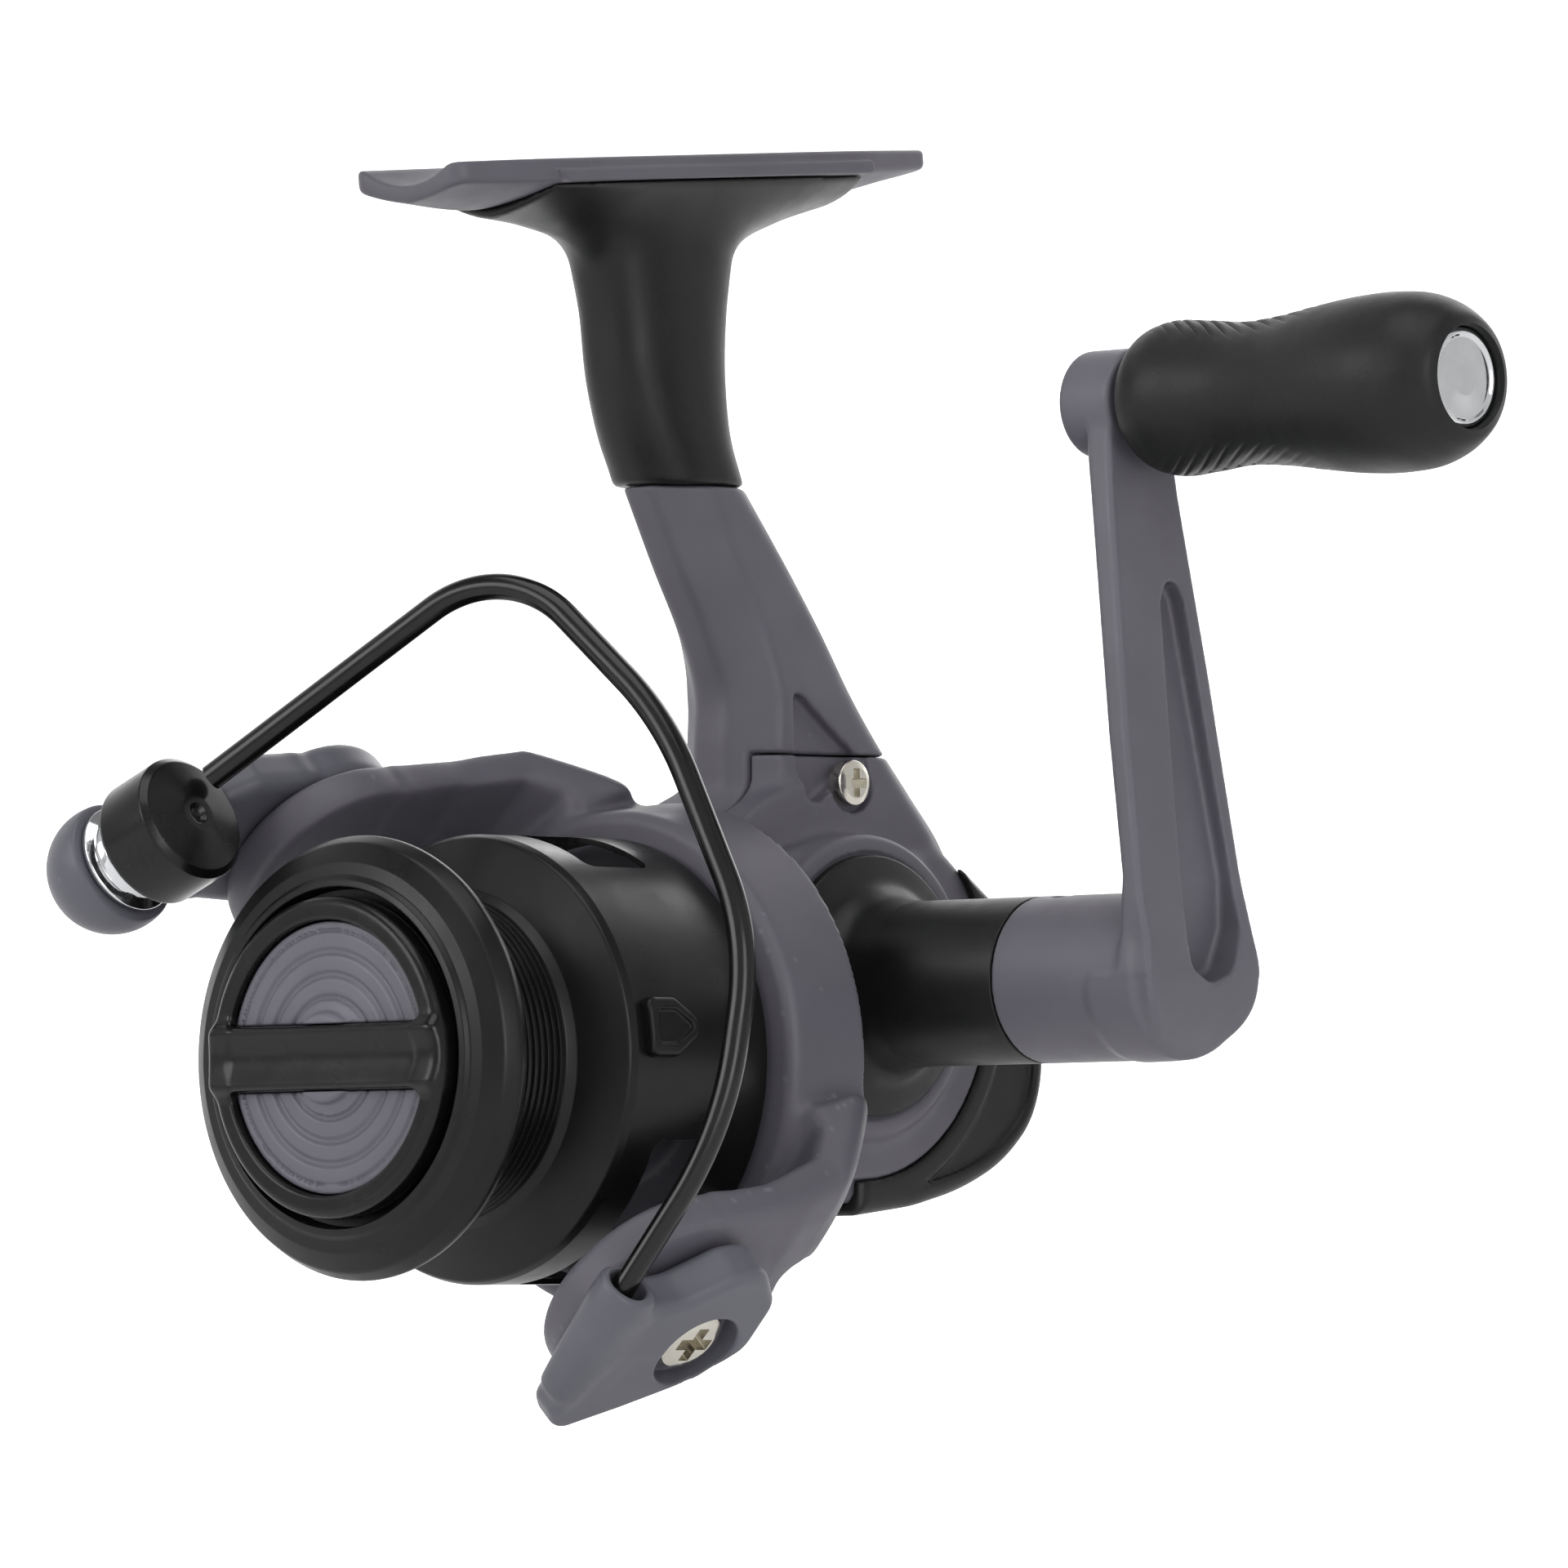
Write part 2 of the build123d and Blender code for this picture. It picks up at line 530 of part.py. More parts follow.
with BuildPart() as rotor_arm:
    slab(10.0, 30.0, ARM_OUTLINE)
    ring_about_x(10.0, 30.0, 9.2, 0, -1.5, BAIL_Y)
    add(arm_side.part, mode=Mode.INTERSECT)
    add(arm_limit.part, mode=Mode.INTERSECT)
    ring_about_y(-16.9, -11.0, 18.8, 0, Mode.SUBTRACT)

with BuildPart() as rotor:
    lathe(
        Plane.XY,
        ((2.45, -23.9), (9.5, -23.9), (9.5, -18.3), (18.2, -18.3), (18.6, -19.0), (19.4, -18.9),
         (ROTOR_R, -11.5), (18.8, -11.5), (18.8, -16.9), (8.0, -16.9), (8.0, -22.4), (2.45, -22.4)),
        Axis.Y,
    )
    add(rotor_arm.part)
    add(mirror(rotor_arm.part, about=Plane.YZ, mode=Mode.PRIVATE))
    # pocket for the bail spring in the roller-side arm, and a screw hole through each arm end
    ring_about_x(-ARM_OUT - 0.1, -23.4, 4.2, 0, BAIL_Q, BAIL_Y, Mode.SUBTRACT)
    ring_about_x(-30, 30, 1.3, 0, BAIL_Q, BAIL_Y, Mode.SUBTRACT)

# ---- bail -------------------------------------------------------------------------------
LEVER_IN = ARM_OUT + 0.25
SCREW_HEAD_R = 2.7

with BuildPart() as bail_screws:
    for side in (1, -1):
        for inner, outer, r in ((ARM_IN + 0.2, 28.3, 1.3), (28.3, 29.7, SCREW_HEAD_R)):
            x0 = min(side * inner, side * outer)
            ring_about_x(x0, x0 + outer - inner, r, 0, BAIL_Q, BAIL_Y)
        head = Plane(origin=(side * 29.7, BAIL_Y, BAIL_Q), x_dir=(0, 1, 0), z_dir=(side, 0, 0))
        cross_recess(head, 3.4, 0.7)

# the wire leaves the roller cone, arches over the spool and ends in the bail lever
WIRE = (
    (-26.6, -46.7, 4.4), (-22.8, -36.6, 31.8), (-3.5, -34.0, 32.4), (14.5, -34.0, 26.6),
    (24.4, -36.6, 16.0), (28.3, -40.9, 1.6),
)
WIRE_BENDS = (9.0, 26.0, 20.0, 26.0)

with BuildPart() as bail_wire:
    with BuildLine() as wire_path:
        FilletPolyline(*WIRE, radius=list(WIRE_BENDS))
    with BuildSketch(Plane(origin=WIRE[0], z_dir=wire_path.line % 0)):
        Circle(WIRE_R)
    sweep(path=wire_path.line)

with BuildPart() as bail_lever:
    slab(LEVER_IN, LEVER_OUT, (
        (-41.4, 2.4), (-41.4, -4.0), (-40.7, -9.4), (-38.8, -11.2), (-33.5, -8.6), (-27.6, -5.2),
        (-25.0, -1.5), (-25.3, 3.2), (-28.6, 6.4), (-31.5, 6.1), (-35.5, 3.6), (-38.6, 3.0),
    ))
    chamfer(bail_lever.edges().group_by(Axis.X)[-1], 0.9)
    # socket for the wire
    with BuildSketch(Plane.XY.offset(-2.0)):
        with Locations((28.3, -40.7)):
            Circle(2.0)
    extrude(amount=5.6)
    ring_about_x(28.3, 40, SCREW_HEAD_R + 0.35, 0, BAIL_Q, BAIL_Y, Mode.SUBTRACT)
    ring_about_x(20, 40, 1.3 + FIT, 0, BAIL_Q, BAIL_Y, Mode.SUBTRACT)
    add(bail_wire.part, mode=Mode.SUBTRACT)

with BuildPart() as roller_lever:
    with BuildSketch(Plane.YZ.offset(-LEVER_OUT)):
        with BuildLine():
            Polyline(
                (-35.0, 4.9), (-41.0, 4.4), (-43.8, 2.6), (-44.0, -3.0), (-44.3, -6.4),
                (-45.6, -9.6), (-39.5, -8.5), (-33.0, -8.9), close=True,
            )
        make_face()
        with Locations((BAIL_Y, BAIL_Q)):
            Circle(7.4)
    extrude(amount=LEVER_OUT - LEVER_IN)
    ball = Location(ROLLER_SEAT) * Sphere(5.1, mode=Mode.PRIVATE)
    add(ball)
    with BuildSketch(ROLLER.offset(1.3)):
        Circle(7.0)
    extrude(amount=6.0, mode=Mode.SUBTRACT)
    ring_about_x(-40, -28.3, SCREW_HEAD_R + 0.35, 0, BAIL_Q, BAIL_Y, Mode.SUBTRACT)
    ring_about_x(-40, -20, 1.3 + FIT, 0, BAIL_Q, BAIL_Y, Mode.SUBTRACT)
    with BuildSketch(ROLLER.offset(-2.0)):
        Circle(1.0)
    extrude(amount=6.0, mode=Mode.SUBTRACT)

with BuildPart() as roller_pin:
    with BuildSketch(ROLLER.offset(-2.0)):
        Circle(1.0)
    extrude(amount=9.5)

with BuildPart() as roller_cone:
    with BuildSketch(Plane(origin=ROLLER_SEAT, x_dir=(0, 1, 0), z_dir=ROLLER.x_dir.cross(ROLLER.z_dir))):
        with BuildLine():
            Polyline(
                (0, 4.3), (5.1, 4.3), (5.1, 9.3), (4.6, 9.8), (1.0, 10.5), (0.6, 10.2), (0, 10.2),
                close=True,
            )
        make_face()
    revolve(axis=Axis(ROLLER_SEAT, ROLLER_DIR))
    add(roller_pin.part, mode=Mode.SUBTRACT)
    add(bail_wire.part, mode=Mode.SUBTRACT)

with BuildPart() as line_roller:
    with BuildSketch(Plane(origin=ROLLER_SEAT, x_dir=(0, 1, 0), z_dir=ROLLER.x_dir.cross(ROLLER.z_dir))):
        with BuildLine():
            Polyline(
                (1.0 + FIT, 1.5), (4.3, 1.5), (4.3, 1.9), (3.5, 2.5), (3.4, 3.0), (3.7, 3.6),
                (4.3, 3.9), (4.3, 4.15), (1.0 + FIT, 4.15), close=True,
            )
        make_face()
    revolve(axis=Axis(ROLLER_SEAT, ROLLER_DIR))

with BuildPart() as bail_spring:
    for n in range(3):
        with Locations(Location((-25.4 + 0.6 * n, BAIL_Y, BAIL_Q), (0, 90, 0))):
            Torus(3.4, 0.22)

# ---- spool line -------------------------------------------------------------------------
with BuildPart() as main_shaft:
    ring_about_y(-50.1, 17.6, SHAFT_R, 0)

with BuildPart() as spool_washer:
    ring_about_y(-30.9, -30.3, 3.6, SHAFT_R)

with BuildPart() as click_wheel:
    with BuildSketch(Plane.XZ.offset(32.4)):
        with BuildLine():
            Polyline(*spur_outline(24, 0.62), close=True)
        make_face()
    extrude(amount=-1.4)
    ring_about_y(-40, -20, SHAFT_R, 0, mode=Mode.SUBTRACT)

with BuildPart() as spool:
    lathe(
        Plane.XY,
        (
            (13.1, LIP_Y - 2.6), (14.6, LIP_Y - 2.4), (16.0, LIP_Y - 1.5), (16.8, LIP_Y - 0.6),
            (LIP_R, LIP_Y + 0.4), (16.9, LIP_Y + 1.1), (16.4, LIP_Y + 1.5), (13.2, LIP_Y + 2.6),
            (12.5, LIP_Y + 3.3), (12.5, -37.0), (13.0, -36.5), (17.1, -34.7), (SKIRT_R, -34.0),
            (SKIRT_R, SKIRT_END), (16.9, SKIRT_END), (16.9, -33.2), (11.2, -35.9), (11.2, -39.6),
            (4.6, -39.6), (4.6, -34.2), (SHAFT_R + FIT, -34.2), (SHAFT_R + FIT, -42.0),
            (9.0, -42.0), (9.0, -47.6), (12.9, -47.6),
        ),
        Axis.Y,
    )
    # fine line-holding grooves round the arbor
    for n in range(8):
        with BuildSketch(Plane.XZ.offset(42.6 - 0.7 * n)):
            Circle(13.4)
            Circle(12.3, mode=Mode.SUBTRACT)
        extrude(amount=0.25, mode=Mode.SUBTRACT)
    # vents through the skirt, above and below
    for turn in (72, 108, 144, 252, 288, 324):
        outward = (cos(radians(turn)), 0, sin(radians(turn)))
        vent = Plane(origin=(0, -27.3, 0), x_dir=(0, 1, 0), z_dir=outward)
        with BuildSketch(vent.offset(14)):
            RectangleRounded(7.0, 8.6, 1.0)
        extrude(amount=6, mode=Mode.SUBTRACT)

CLIP_PLANE = Plane(origin=(0, -30.0, 0), x_dir=(0, 1, 0), z_dir=(cos(radians(7)), 0, sin(radians(7))))
with BuildPart() as line_clip:
    with BuildSketch(CLIP_PLANE.offset(16.0)):
        with BuildLine():
            Polyline(
                (-3.2, -2.2), (-0.4, -2.2), (1.9, -1.2), (2.9, 0), (1.9, 1.2), (-0.4, 2.2),
                (-3.2, 2.2), close=True,
            )
        make_face()
    extrude(amount=2.3)
    ring_about_y(-40, -20, SKIRT_R, 0, mode=Mode.SUBTRACT)

PLATE_YS = (-43.7, -45.3)
FELT_YS = (-42.9, -44.5, -46.1)
with BuildPart() as drag_plates:
    for y in PLATE_YS:
        ring_about_y(y, y + 0.7, 8.3, SHAFT_R)

with BuildPart() as drag_felts:
    for y in FELT_YS:
        ring_about_y(y, y + 0.7, 8.9, 2.0)

with BuildPart() as drag_retainer:
    ring_about_y(-46.9, -46.3, 9.0, 7.9)

with BuildPart() as click_pawl:
    with Locations((0, -33.6, 8.7)):
        Box(1.4, 3.2, 1.0)
    with Locations((0, -35.0, 9.4)):
        Box(3.2, 2.0, 1.6)

BAR_HALF = 2.5
with BuildPart() as drag_knob:
    lathe(
        Plane.XY,
        ((SHAFT_R + 3.0, -47.9), (KNOB_RING_R - 0.5, -47.9), (KNOB_RING_R, -48.4), (KNOB_RING_R, -49.9),
         (KNOB_RING_R - 0.4, -50.3), (KNOB_DISC_R + 0.4, -50.3), (KNOB_DISC_R, -49.9), (KNOB_DISC_R, -48.9),
         (SHAFT_R + 3.0, -48.9)),
        Axis.Y,
    )
    with BuildSketch(Plane.XZ.offset(48.9)):
        Rectangle(2 * KNOB_RING_R - 0.5, 2 * BAR_HALF)
    extrude(amount=2.2)
    # finger waist: the bar's front is hollowed along its length
    with BuildSketch(Plane.YZ.offset(-20)):
        with Locations((-53.1, 0)):
            Circle(2.6)
    extrude(amount=40, mode=Mode.SUBTRACT)
    with BuildSketch(Plane.XZ.offset(48.9)):
        RegularPolygon(3.4, 6)
    extrude(amount=-2.2)
    ring_about_y(-50.3, -40, SHAFT_R + FIT, 0, mode=Mode.SUBTRACT)
    with BuildSketch(Plane.XZ.offset(48.4)):
        RegularPolygon(2.4, 6)
    extrude(amount=-2.0, mode=Mode.SUBTRACT)

with BuildPart() as drag_knob_disc:
    ring_about_y(-50.0, -48.9, KNOB_DISC_R, 0)
    ring_about_y(-50.8, -48.9, 3.6, 0)
    with Locations((0, -50, 0)):
        Box(40, 10, 2 * BAR_HALF, mode=Mode.SUBTRACT)

with BuildPart() as drag_nut:
    with BuildSketch(Plane.XZ.offset(48.4)):
        RegularPolygon(2.4, 6)
        Circle(SHAFT_R + FIT, mode=Mode.SUBTRACT)
    extrude(amount=-1.4)

# ---- oscillation ------------------------------------------------------------------------
SLIDER_Y = CAM_Y + STROKE / 2
CRANK_PIN_R = 0.8
with BuildPart() as slider:
    slab(-4.2, 1.5, (
        (SLIDER_Y - 2.0, GUIDE_Z - 1.2), (SLIDER_Y + 2.0, GUIDE_Z - 1.2), (SLIDER_Y + 2.0, 8.8),
        (SLIDER_Y - 1.6, 8.8), (SLIDER_Y - 1.6, 3.2), (SLIDER_Y - 2.0, 2.8),
    ))
    # upright slot for the crank pin, shaft hole, guide rod hole and screw hole
    with BuildSketch(Plane.YZ.offset(-4.2)):
        with Locations((SLIDER_Y, CAM_Z)):
            SlotOverall(STROKE + 2 * CRANK_PIN_R + 0.2, 2 * CRANK_PIN_R + 0.2, rotation=90)
    extrude(amount=2.2, mode=Mode.SUBTRACT)
    ring_about_y(0, 30, SHAFT_R, 0, mode=Mode.SUBTRACT)
    with BuildSketch(Plane.XZ.offset(0)):
        with Locations((GUIDE_X, GUIDE_Z)):
            Circle(GUIDE_R + FIT)
    extrude(amount=-30, mode=Mode.SUBTRACT)
    ring_about_x(-1.0, 1.6, 0.7, 0, 2.2, SLIDER_Y, Mode.SUBTRACT)

with BuildPart() as slider_screw:
    ring_about_x(-1.0, 1.5, 0.7, 0, 2.2, SLIDER_Y)

with BuildPart() as oscillation_gear:
    with BuildSketch(Plane(origin=(-7.0, CAM_Y, CAM_Z), x_dir=(0, 1, 0), z_dir=(1, 0, 0))):
        with BuildLine():
            Polyline(*spur_outline(CAM_TEETH, CAM_MODULE, phase=CAM_PHASE), close=True)
        make_face()
        Circle(1.4 + FIT, mode=Mode.SUBTRACT)
    extrude(amount=1.5)

with BuildPart() as crank_pin:
    ring_about_x(-5.5, -4.4, CRANK_PIN_R, 0, CAM_Z, CAM_Y + STROKE / 2)

with BuildPart() as gear_post:
    ring_about_x(-7.2, -5.2, 1.4, 0, CAM_Z, CAM_Y)

with BuildPart() as anti_reverse_lever:
    slab(-3.5, -0.5, (
        (-8.0, -12.4), (-7.4, -14.4), (-5.8, -14.6), (-2.0, -14.9), (-1.2, -14.2), (-1.6, -13.6),
        (-5.2, -12.2), (-6.8, -11.9),
    ))
    ring_about_x(-4.9, 0.9, 0.8, 0, -12.9, -6.5)

# ---- hand out the pieces ----------------------------------------------------------------
FRAME_PIECES = {
    "foot": foot, "body_shell": body_shell, "side_cover": side_cover, "rear_cap": rear_cap,
    "stem_grip": stem_grip, "handle_boss": handle_boss, "left_cap": left_cap,
    "cover_screws": cover_screws, "drive_bushes": drive_bushes, "handle_shaft": handle_shaft,
    "drive_gear": drive_gear, "oscillation_driver": cam_driver, "handle_arm": handle_arm,
    "knob_post": knob_post, "knob_grip": knob_grip, "knob_cap": knob_cap,
    "pinion_bearing": pinion_bearing, "bearing_balls": bearing_balls, "clutch_ring": clutch_ring,
    "clutch_rollers": clutch_rollers, "main_shaft": main_shaft, "spool_washer": spool_washer,
    "click_wheel": click_wheel, "spool": spool, "line_clip": line_clip,
    "drag_plates": drag_plates, "drag_felts": drag_felts, "drag_retainer": drag_retainer,
    "click_pawl": click_pawl, "drag_knob": drag_knob, "drag_knob_disc": drag_knob_disc,
    "drag_nut": drag_nut, "slider": slider, "guide_rod": guide_rod,
    "slider_screw": slider_screw, "oscillation_gear": oscillation_gear, "crank_pin": crank_pin,
    "gear_post": gear_post, "anti_reverse_lever": anti_reverse_lever,
    "pinion_gear": pinion_gear, "bearing_race": bearing_race, "clutch_sleeve": clutch_sleeve,
    "rotor_nut": rotor_nut,
}
ROTOR_PIECES = {
    "rotor": rotor, "bail_screws": bail_screws, "bail_spring": bail_spring,
    "bail_lever": bail_lever, "bail_wire": bail_wire, "roller_lever": roller_lever,
    "roller_pin": roller_pin, "roller_cone": roller_cone, "line_roller": line_roller,
}
for name, piece in FRAME_PIECES.items():
    save(piece, name)
for name, piece in ROTOR_PIECES.items():
    save(piece, name, ROTOR_REST)
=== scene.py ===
"""Open-face spinning reel: the finished look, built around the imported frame.

Everything is drawn in millimetres in the reel's own drawing frame: the spool axis is Y with the
spool in front at -Y, the handle axis runs along +X and the foot is above at +Z. HANG carries that
frame to the row frame in metres, and REST also turns the rotor to its resting angle. Both are
read from the joints of the frame.

Moulded and cast pieces are modelled as distance fields, so that their edges and corners have the
soft radii of the real thing, and then meshed. Turned pieces are lathed from their profiles.
"""
import json
from math import atan2, cos, pi, radians, sin, tan

import bmesh
import bpy
import numpy as np
import openvdb
from mathutils import Matrix, Vector


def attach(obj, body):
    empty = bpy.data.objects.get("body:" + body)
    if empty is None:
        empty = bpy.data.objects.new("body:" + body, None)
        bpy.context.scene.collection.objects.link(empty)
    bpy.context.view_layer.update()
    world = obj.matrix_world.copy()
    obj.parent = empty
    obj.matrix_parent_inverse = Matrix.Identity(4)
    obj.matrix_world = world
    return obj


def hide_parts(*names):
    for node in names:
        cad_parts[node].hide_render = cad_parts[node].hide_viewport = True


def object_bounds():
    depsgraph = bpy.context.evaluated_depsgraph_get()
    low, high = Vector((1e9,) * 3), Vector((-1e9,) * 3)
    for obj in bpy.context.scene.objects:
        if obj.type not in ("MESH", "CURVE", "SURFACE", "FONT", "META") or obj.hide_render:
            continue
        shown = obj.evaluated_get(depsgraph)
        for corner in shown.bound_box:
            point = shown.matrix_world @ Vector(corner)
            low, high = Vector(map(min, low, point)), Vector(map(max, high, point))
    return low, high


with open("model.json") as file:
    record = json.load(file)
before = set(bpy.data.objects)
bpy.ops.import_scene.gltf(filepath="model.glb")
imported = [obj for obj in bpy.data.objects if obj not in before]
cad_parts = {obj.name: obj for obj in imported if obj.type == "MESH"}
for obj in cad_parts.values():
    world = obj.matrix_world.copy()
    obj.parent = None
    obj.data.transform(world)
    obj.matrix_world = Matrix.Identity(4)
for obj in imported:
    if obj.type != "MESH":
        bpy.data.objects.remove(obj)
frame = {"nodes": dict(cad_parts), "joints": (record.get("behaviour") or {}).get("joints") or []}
cad_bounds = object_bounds()

# ---- frames, from the joints ----
JOINTS = {joint["name"]: joint for joint in frame["joints"]}
MM = 0.001
spool_axis = Vector(JOINTS["rotor_spin"]["axis"]).normalized()
handle_axis = Vector(JOINTS["handle_turn"]["axis"]).normalized()
rotor_point = Vector(JOINTS["rotor_spin"]["pos_m"])
handle_point = Vector(JOINTS["handle_turn"]["pos_m"])
up_axis = handle_axis.cross(spool_axis)

# origin of the drawing frame: on the spool axis, level with the handle axis
reach = (handle_point - rotor_point).dot(spool_axis)
origin = rotor_point + spool_axis * reach
HANDLE_Z = (handle_point - origin).dot(up_axis) / MM

HANG = Matrix.Translation(origin) @ Matrix((
    (handle_axis.x, spool_axis.x, up_axis.x, 0),
    (handle_axis.y, spool_axis.y, up_axis.y, 0),
    (handle_axis.z, spool_axis.z, up_axis.z, 0),
    (0, 0, 0, 1),
)) @ Matrix.Scale(MM, 4)
bail_axis = Vector(JOINTS["bail_swing"]["axis"]).normalized()
ROTOR_TURN = atan2(-bail_axis.dot(up_axis), bail_axis.dot(handle_axis))
REST = HANG @ Matrix.Rotation(ROTOR_TURN, 4, "Y")
bail_point = REST.inverted() @ Vector(JOINTS["bail_swing"]["pos_m"])
BAIL_Y = bail_point.y
BAIL_Q = bail_point.z
knob_point = HANG.inverted() @ Vector(JOINTS["knob_turn"]["pos_m"])
KNOB_Z = knob_point.z
FOOT_FRAME = Matrix.Scale(MM, 4)

# ---- driving dimensions, in millimetres ----
FINE = 0.16      # cell of small meshed fields
MEDIUM = 0.24    # cell of the larger ones
TURNS = 160                                 # steps round a lathed piece

FOOT_HALF = 27.2
FOOT_EDGE = 1.6
HUB_R = 6.48
HUB_START = 28.85
DRUM_X = 10.3
CHEEK_R = 15.2
DRUM_R = 11.9
SEAM_X = 3.0
SEAM_Z = 24.2
SEAM_HALF = 0.07
ARM_IN = 22.3
ARM_OUT = 26.0
LEVER_IN = 26.25
LEVER_OUT = 30.2
LIP_Y = -46.6
LIP_R = 17.05
ARBOR_R = 12.6
SKIRT_R = 17.35
SKIRT_END = -19.4
KNOB_RING_R = 12.3
KNOB_DISC_R = 10.5
CRANK_X = 39.6
KNOB_END = 72.0
BAIL_BORE = 1.35                            # hole round each bail screw

# ---- distance fields ----


def merge(a, b, soft):
    """Union of two fields with a fillet of about `soft` where they meet."""
    if soft <= 0:
        return np.minimum(a, b)
    share = np.clip(0.5 + 0.5 * (b - a) / soft, 0, 1)
    return b + (a - b) * share - soft * share * (1 - share)


def common(a, b, soft=0.0):
    """Intersection of two fields with an edge rounded by about `soft`."""
    return -merge(-a, -b, soft)


def carve(a, tool, soft=0.0):
    """Take `tool` out of `a`."""
    return common(a, -tool, soft)


def band(t, low, high):
    """Distance to the slab low <= t <= high."""
    return np.abs(t - (low + high) / 2) - (high - low) / 2


def edge_round(a, b, r):
    """Exact rounded intersection of two perpendicular fields."""
    p = a + r
    q = b + r
    outside = np.sqrt(np.maximum(p, 0) ** 2 + np.maximum(q, 0) ** 2)
    return np.minimum(np.maximum(p, q), 0) + outside - r


def fillet_points(points, radius, steps=6):
    """A closed outline with its corners turned into arcs; a point may carry its own radius."""
    out = []
    count = len(points)
    for i in range(count):
        here = np.array(points[i][:2], float)
        r = points[i][2] if len(points[i]) > 2 else radius
        before = np.array(points[i - 1][:2], float) - here
        after = np.array(points[(i + 1) % count][:2], float) - here
        len_a = np.linalg.norm(before)
        len_b = np.linalg.norm(after)
        before = before / len_a
        after = after / len_b
        angle = np.arccos(np.clip(before @ after, -1, 1))
        if r <= 0 or angle > pi - 0.03:
            out.append(tuple(here))
            continue
        reach_along = min(r / tan(angle / 2), 0.48 * len_a, 0.48 * len_b)
        r = reach_along * tan(angle / 2)
        middle = (before + after) / np.linalg.norm(before + after)
        centre = here + middle * (r / sin(angle / 2))
        start = here + before * reach_along - centre
        stop = here + after * reach_along - centre
        a0 = atan2(start[1], start[0])
        turn = (atan2(stop[1], stop[0]) - a0 + pi) % (2 * pi) - pi
        for k in range(steps + 1):
            a = a0 + turn * k / steps
            out.append((centre[0] + r * cos(a), centre[1] + r * sin(a)))
    return out


def outline(u, v, points, radius=0.0):
    """Signed distance in a plane to a closed outline."""
    points = np.array(fillet_points(points, radius) if radius > 0 else points, float)
    u, v = np.broadcast_arrays(u, v)
    best = np.full(u.shape, 1e9)
    inside = np.zeros(u.shape, bool)
    for (ax, ay), (bx, by) in zip(points, np.roll(points, -1, axis=0)):
        ex = bx - ax
        ey = by - ay
        along = np.clip(((u - ax) * ex + (v - ay) * ey) / max(ex * ex + ey * ey, 1e-12), 0, 1)
        best = np.minimum(best, (u - ax - along * ex) ** 2 + (v - ay - along * ey) ** 2)
        if ay != by:
            crossing = (ay > v) != (by > v)
            inside ^= crossing & (u < (bx - ax) * (v - ay) / (by - ay) + ax)
    return np.where(inside, -1, 1) * np.sqrt(best)


def disc(u, v, cu, cv, r):
    """Signed distance in a plane to a circle."""
    return np.sqrt((u - cu) ** 2 + (v - cv) ** 2) - r


def rectangle(half_u, half_v):
    """Corners of a rectangle about the origin of its plane."""
    return ((-half_u, -half_v), (half_u, -half_v), (half_u, half_v), (-half_u, half_v))


def ball(x, y, z, centre, r):
    """Distance to a sphere."""
    return np.sqrt((x - centre[0]) ** 2 + (y - centre[1]) ** 2 + (z - centre[2]) ** 2) - r


def track(t, stations, column):
    """Smooth value of one column of a table of stations, read at t."""
    at = np.array([s[0] for s in stations], float)
    value = np.array([s[column] for s in stations], float)
    slope = np.gradient(value, at)
    t = np.clip(t, at[0], at[-1])
    i = np.clip(np.searchsorted(at, t, side="right") - 1, 0, len(at) - 2)
    width = at[i + 1] - at[i]
    s = (t - at[i]) / width
    return (
        value[i] * (1 + 2 * s) * (1 - s) ** 2 + slope[i] * width * s * (1 - s) ** 2
        + value[i + 1] * s * s * (3 - 2 * s) + slope[i + 1] * width * s * s * (s - 1)
    )


def flank(x, y, ax, ay, bx, by):
    """Distance to the line from a to b, positive on its right-hand side."""
    length = np.sqrt((bx - ax) ** 2 + (by - ay) ** 2)
    return ((x - ax) * (by - ay) - (y - ay) * (bx - ax)) / length


# ---- making pieces ----


def new_piece(name, verts, faces, place, material):
    """A mesh object in the row frame from points in millimetres."""
    mesh = bpy.data.meshes.new(name)
    mesh.from_pydata([tuple(v) for v in verts], [], [tuple(f) for f in faces])
    return finish_piece(name, mesh, place, material)


def finish_piece(name, mesh, place, material):
    """Put a mesh into the row frame, shade it smooth and link it."""
    mesh.transform(place)
    mesh.validate()
    piece = bpy.data.objects.new(name, mesh)
    bpy.context.scene.collection.objects.link(piece)
    mesh.materials.append(material)
    mesh.polygons.foreach_set("use_smooth", [True] * len(mesh.polygons))
    mesh.update()
    return piece


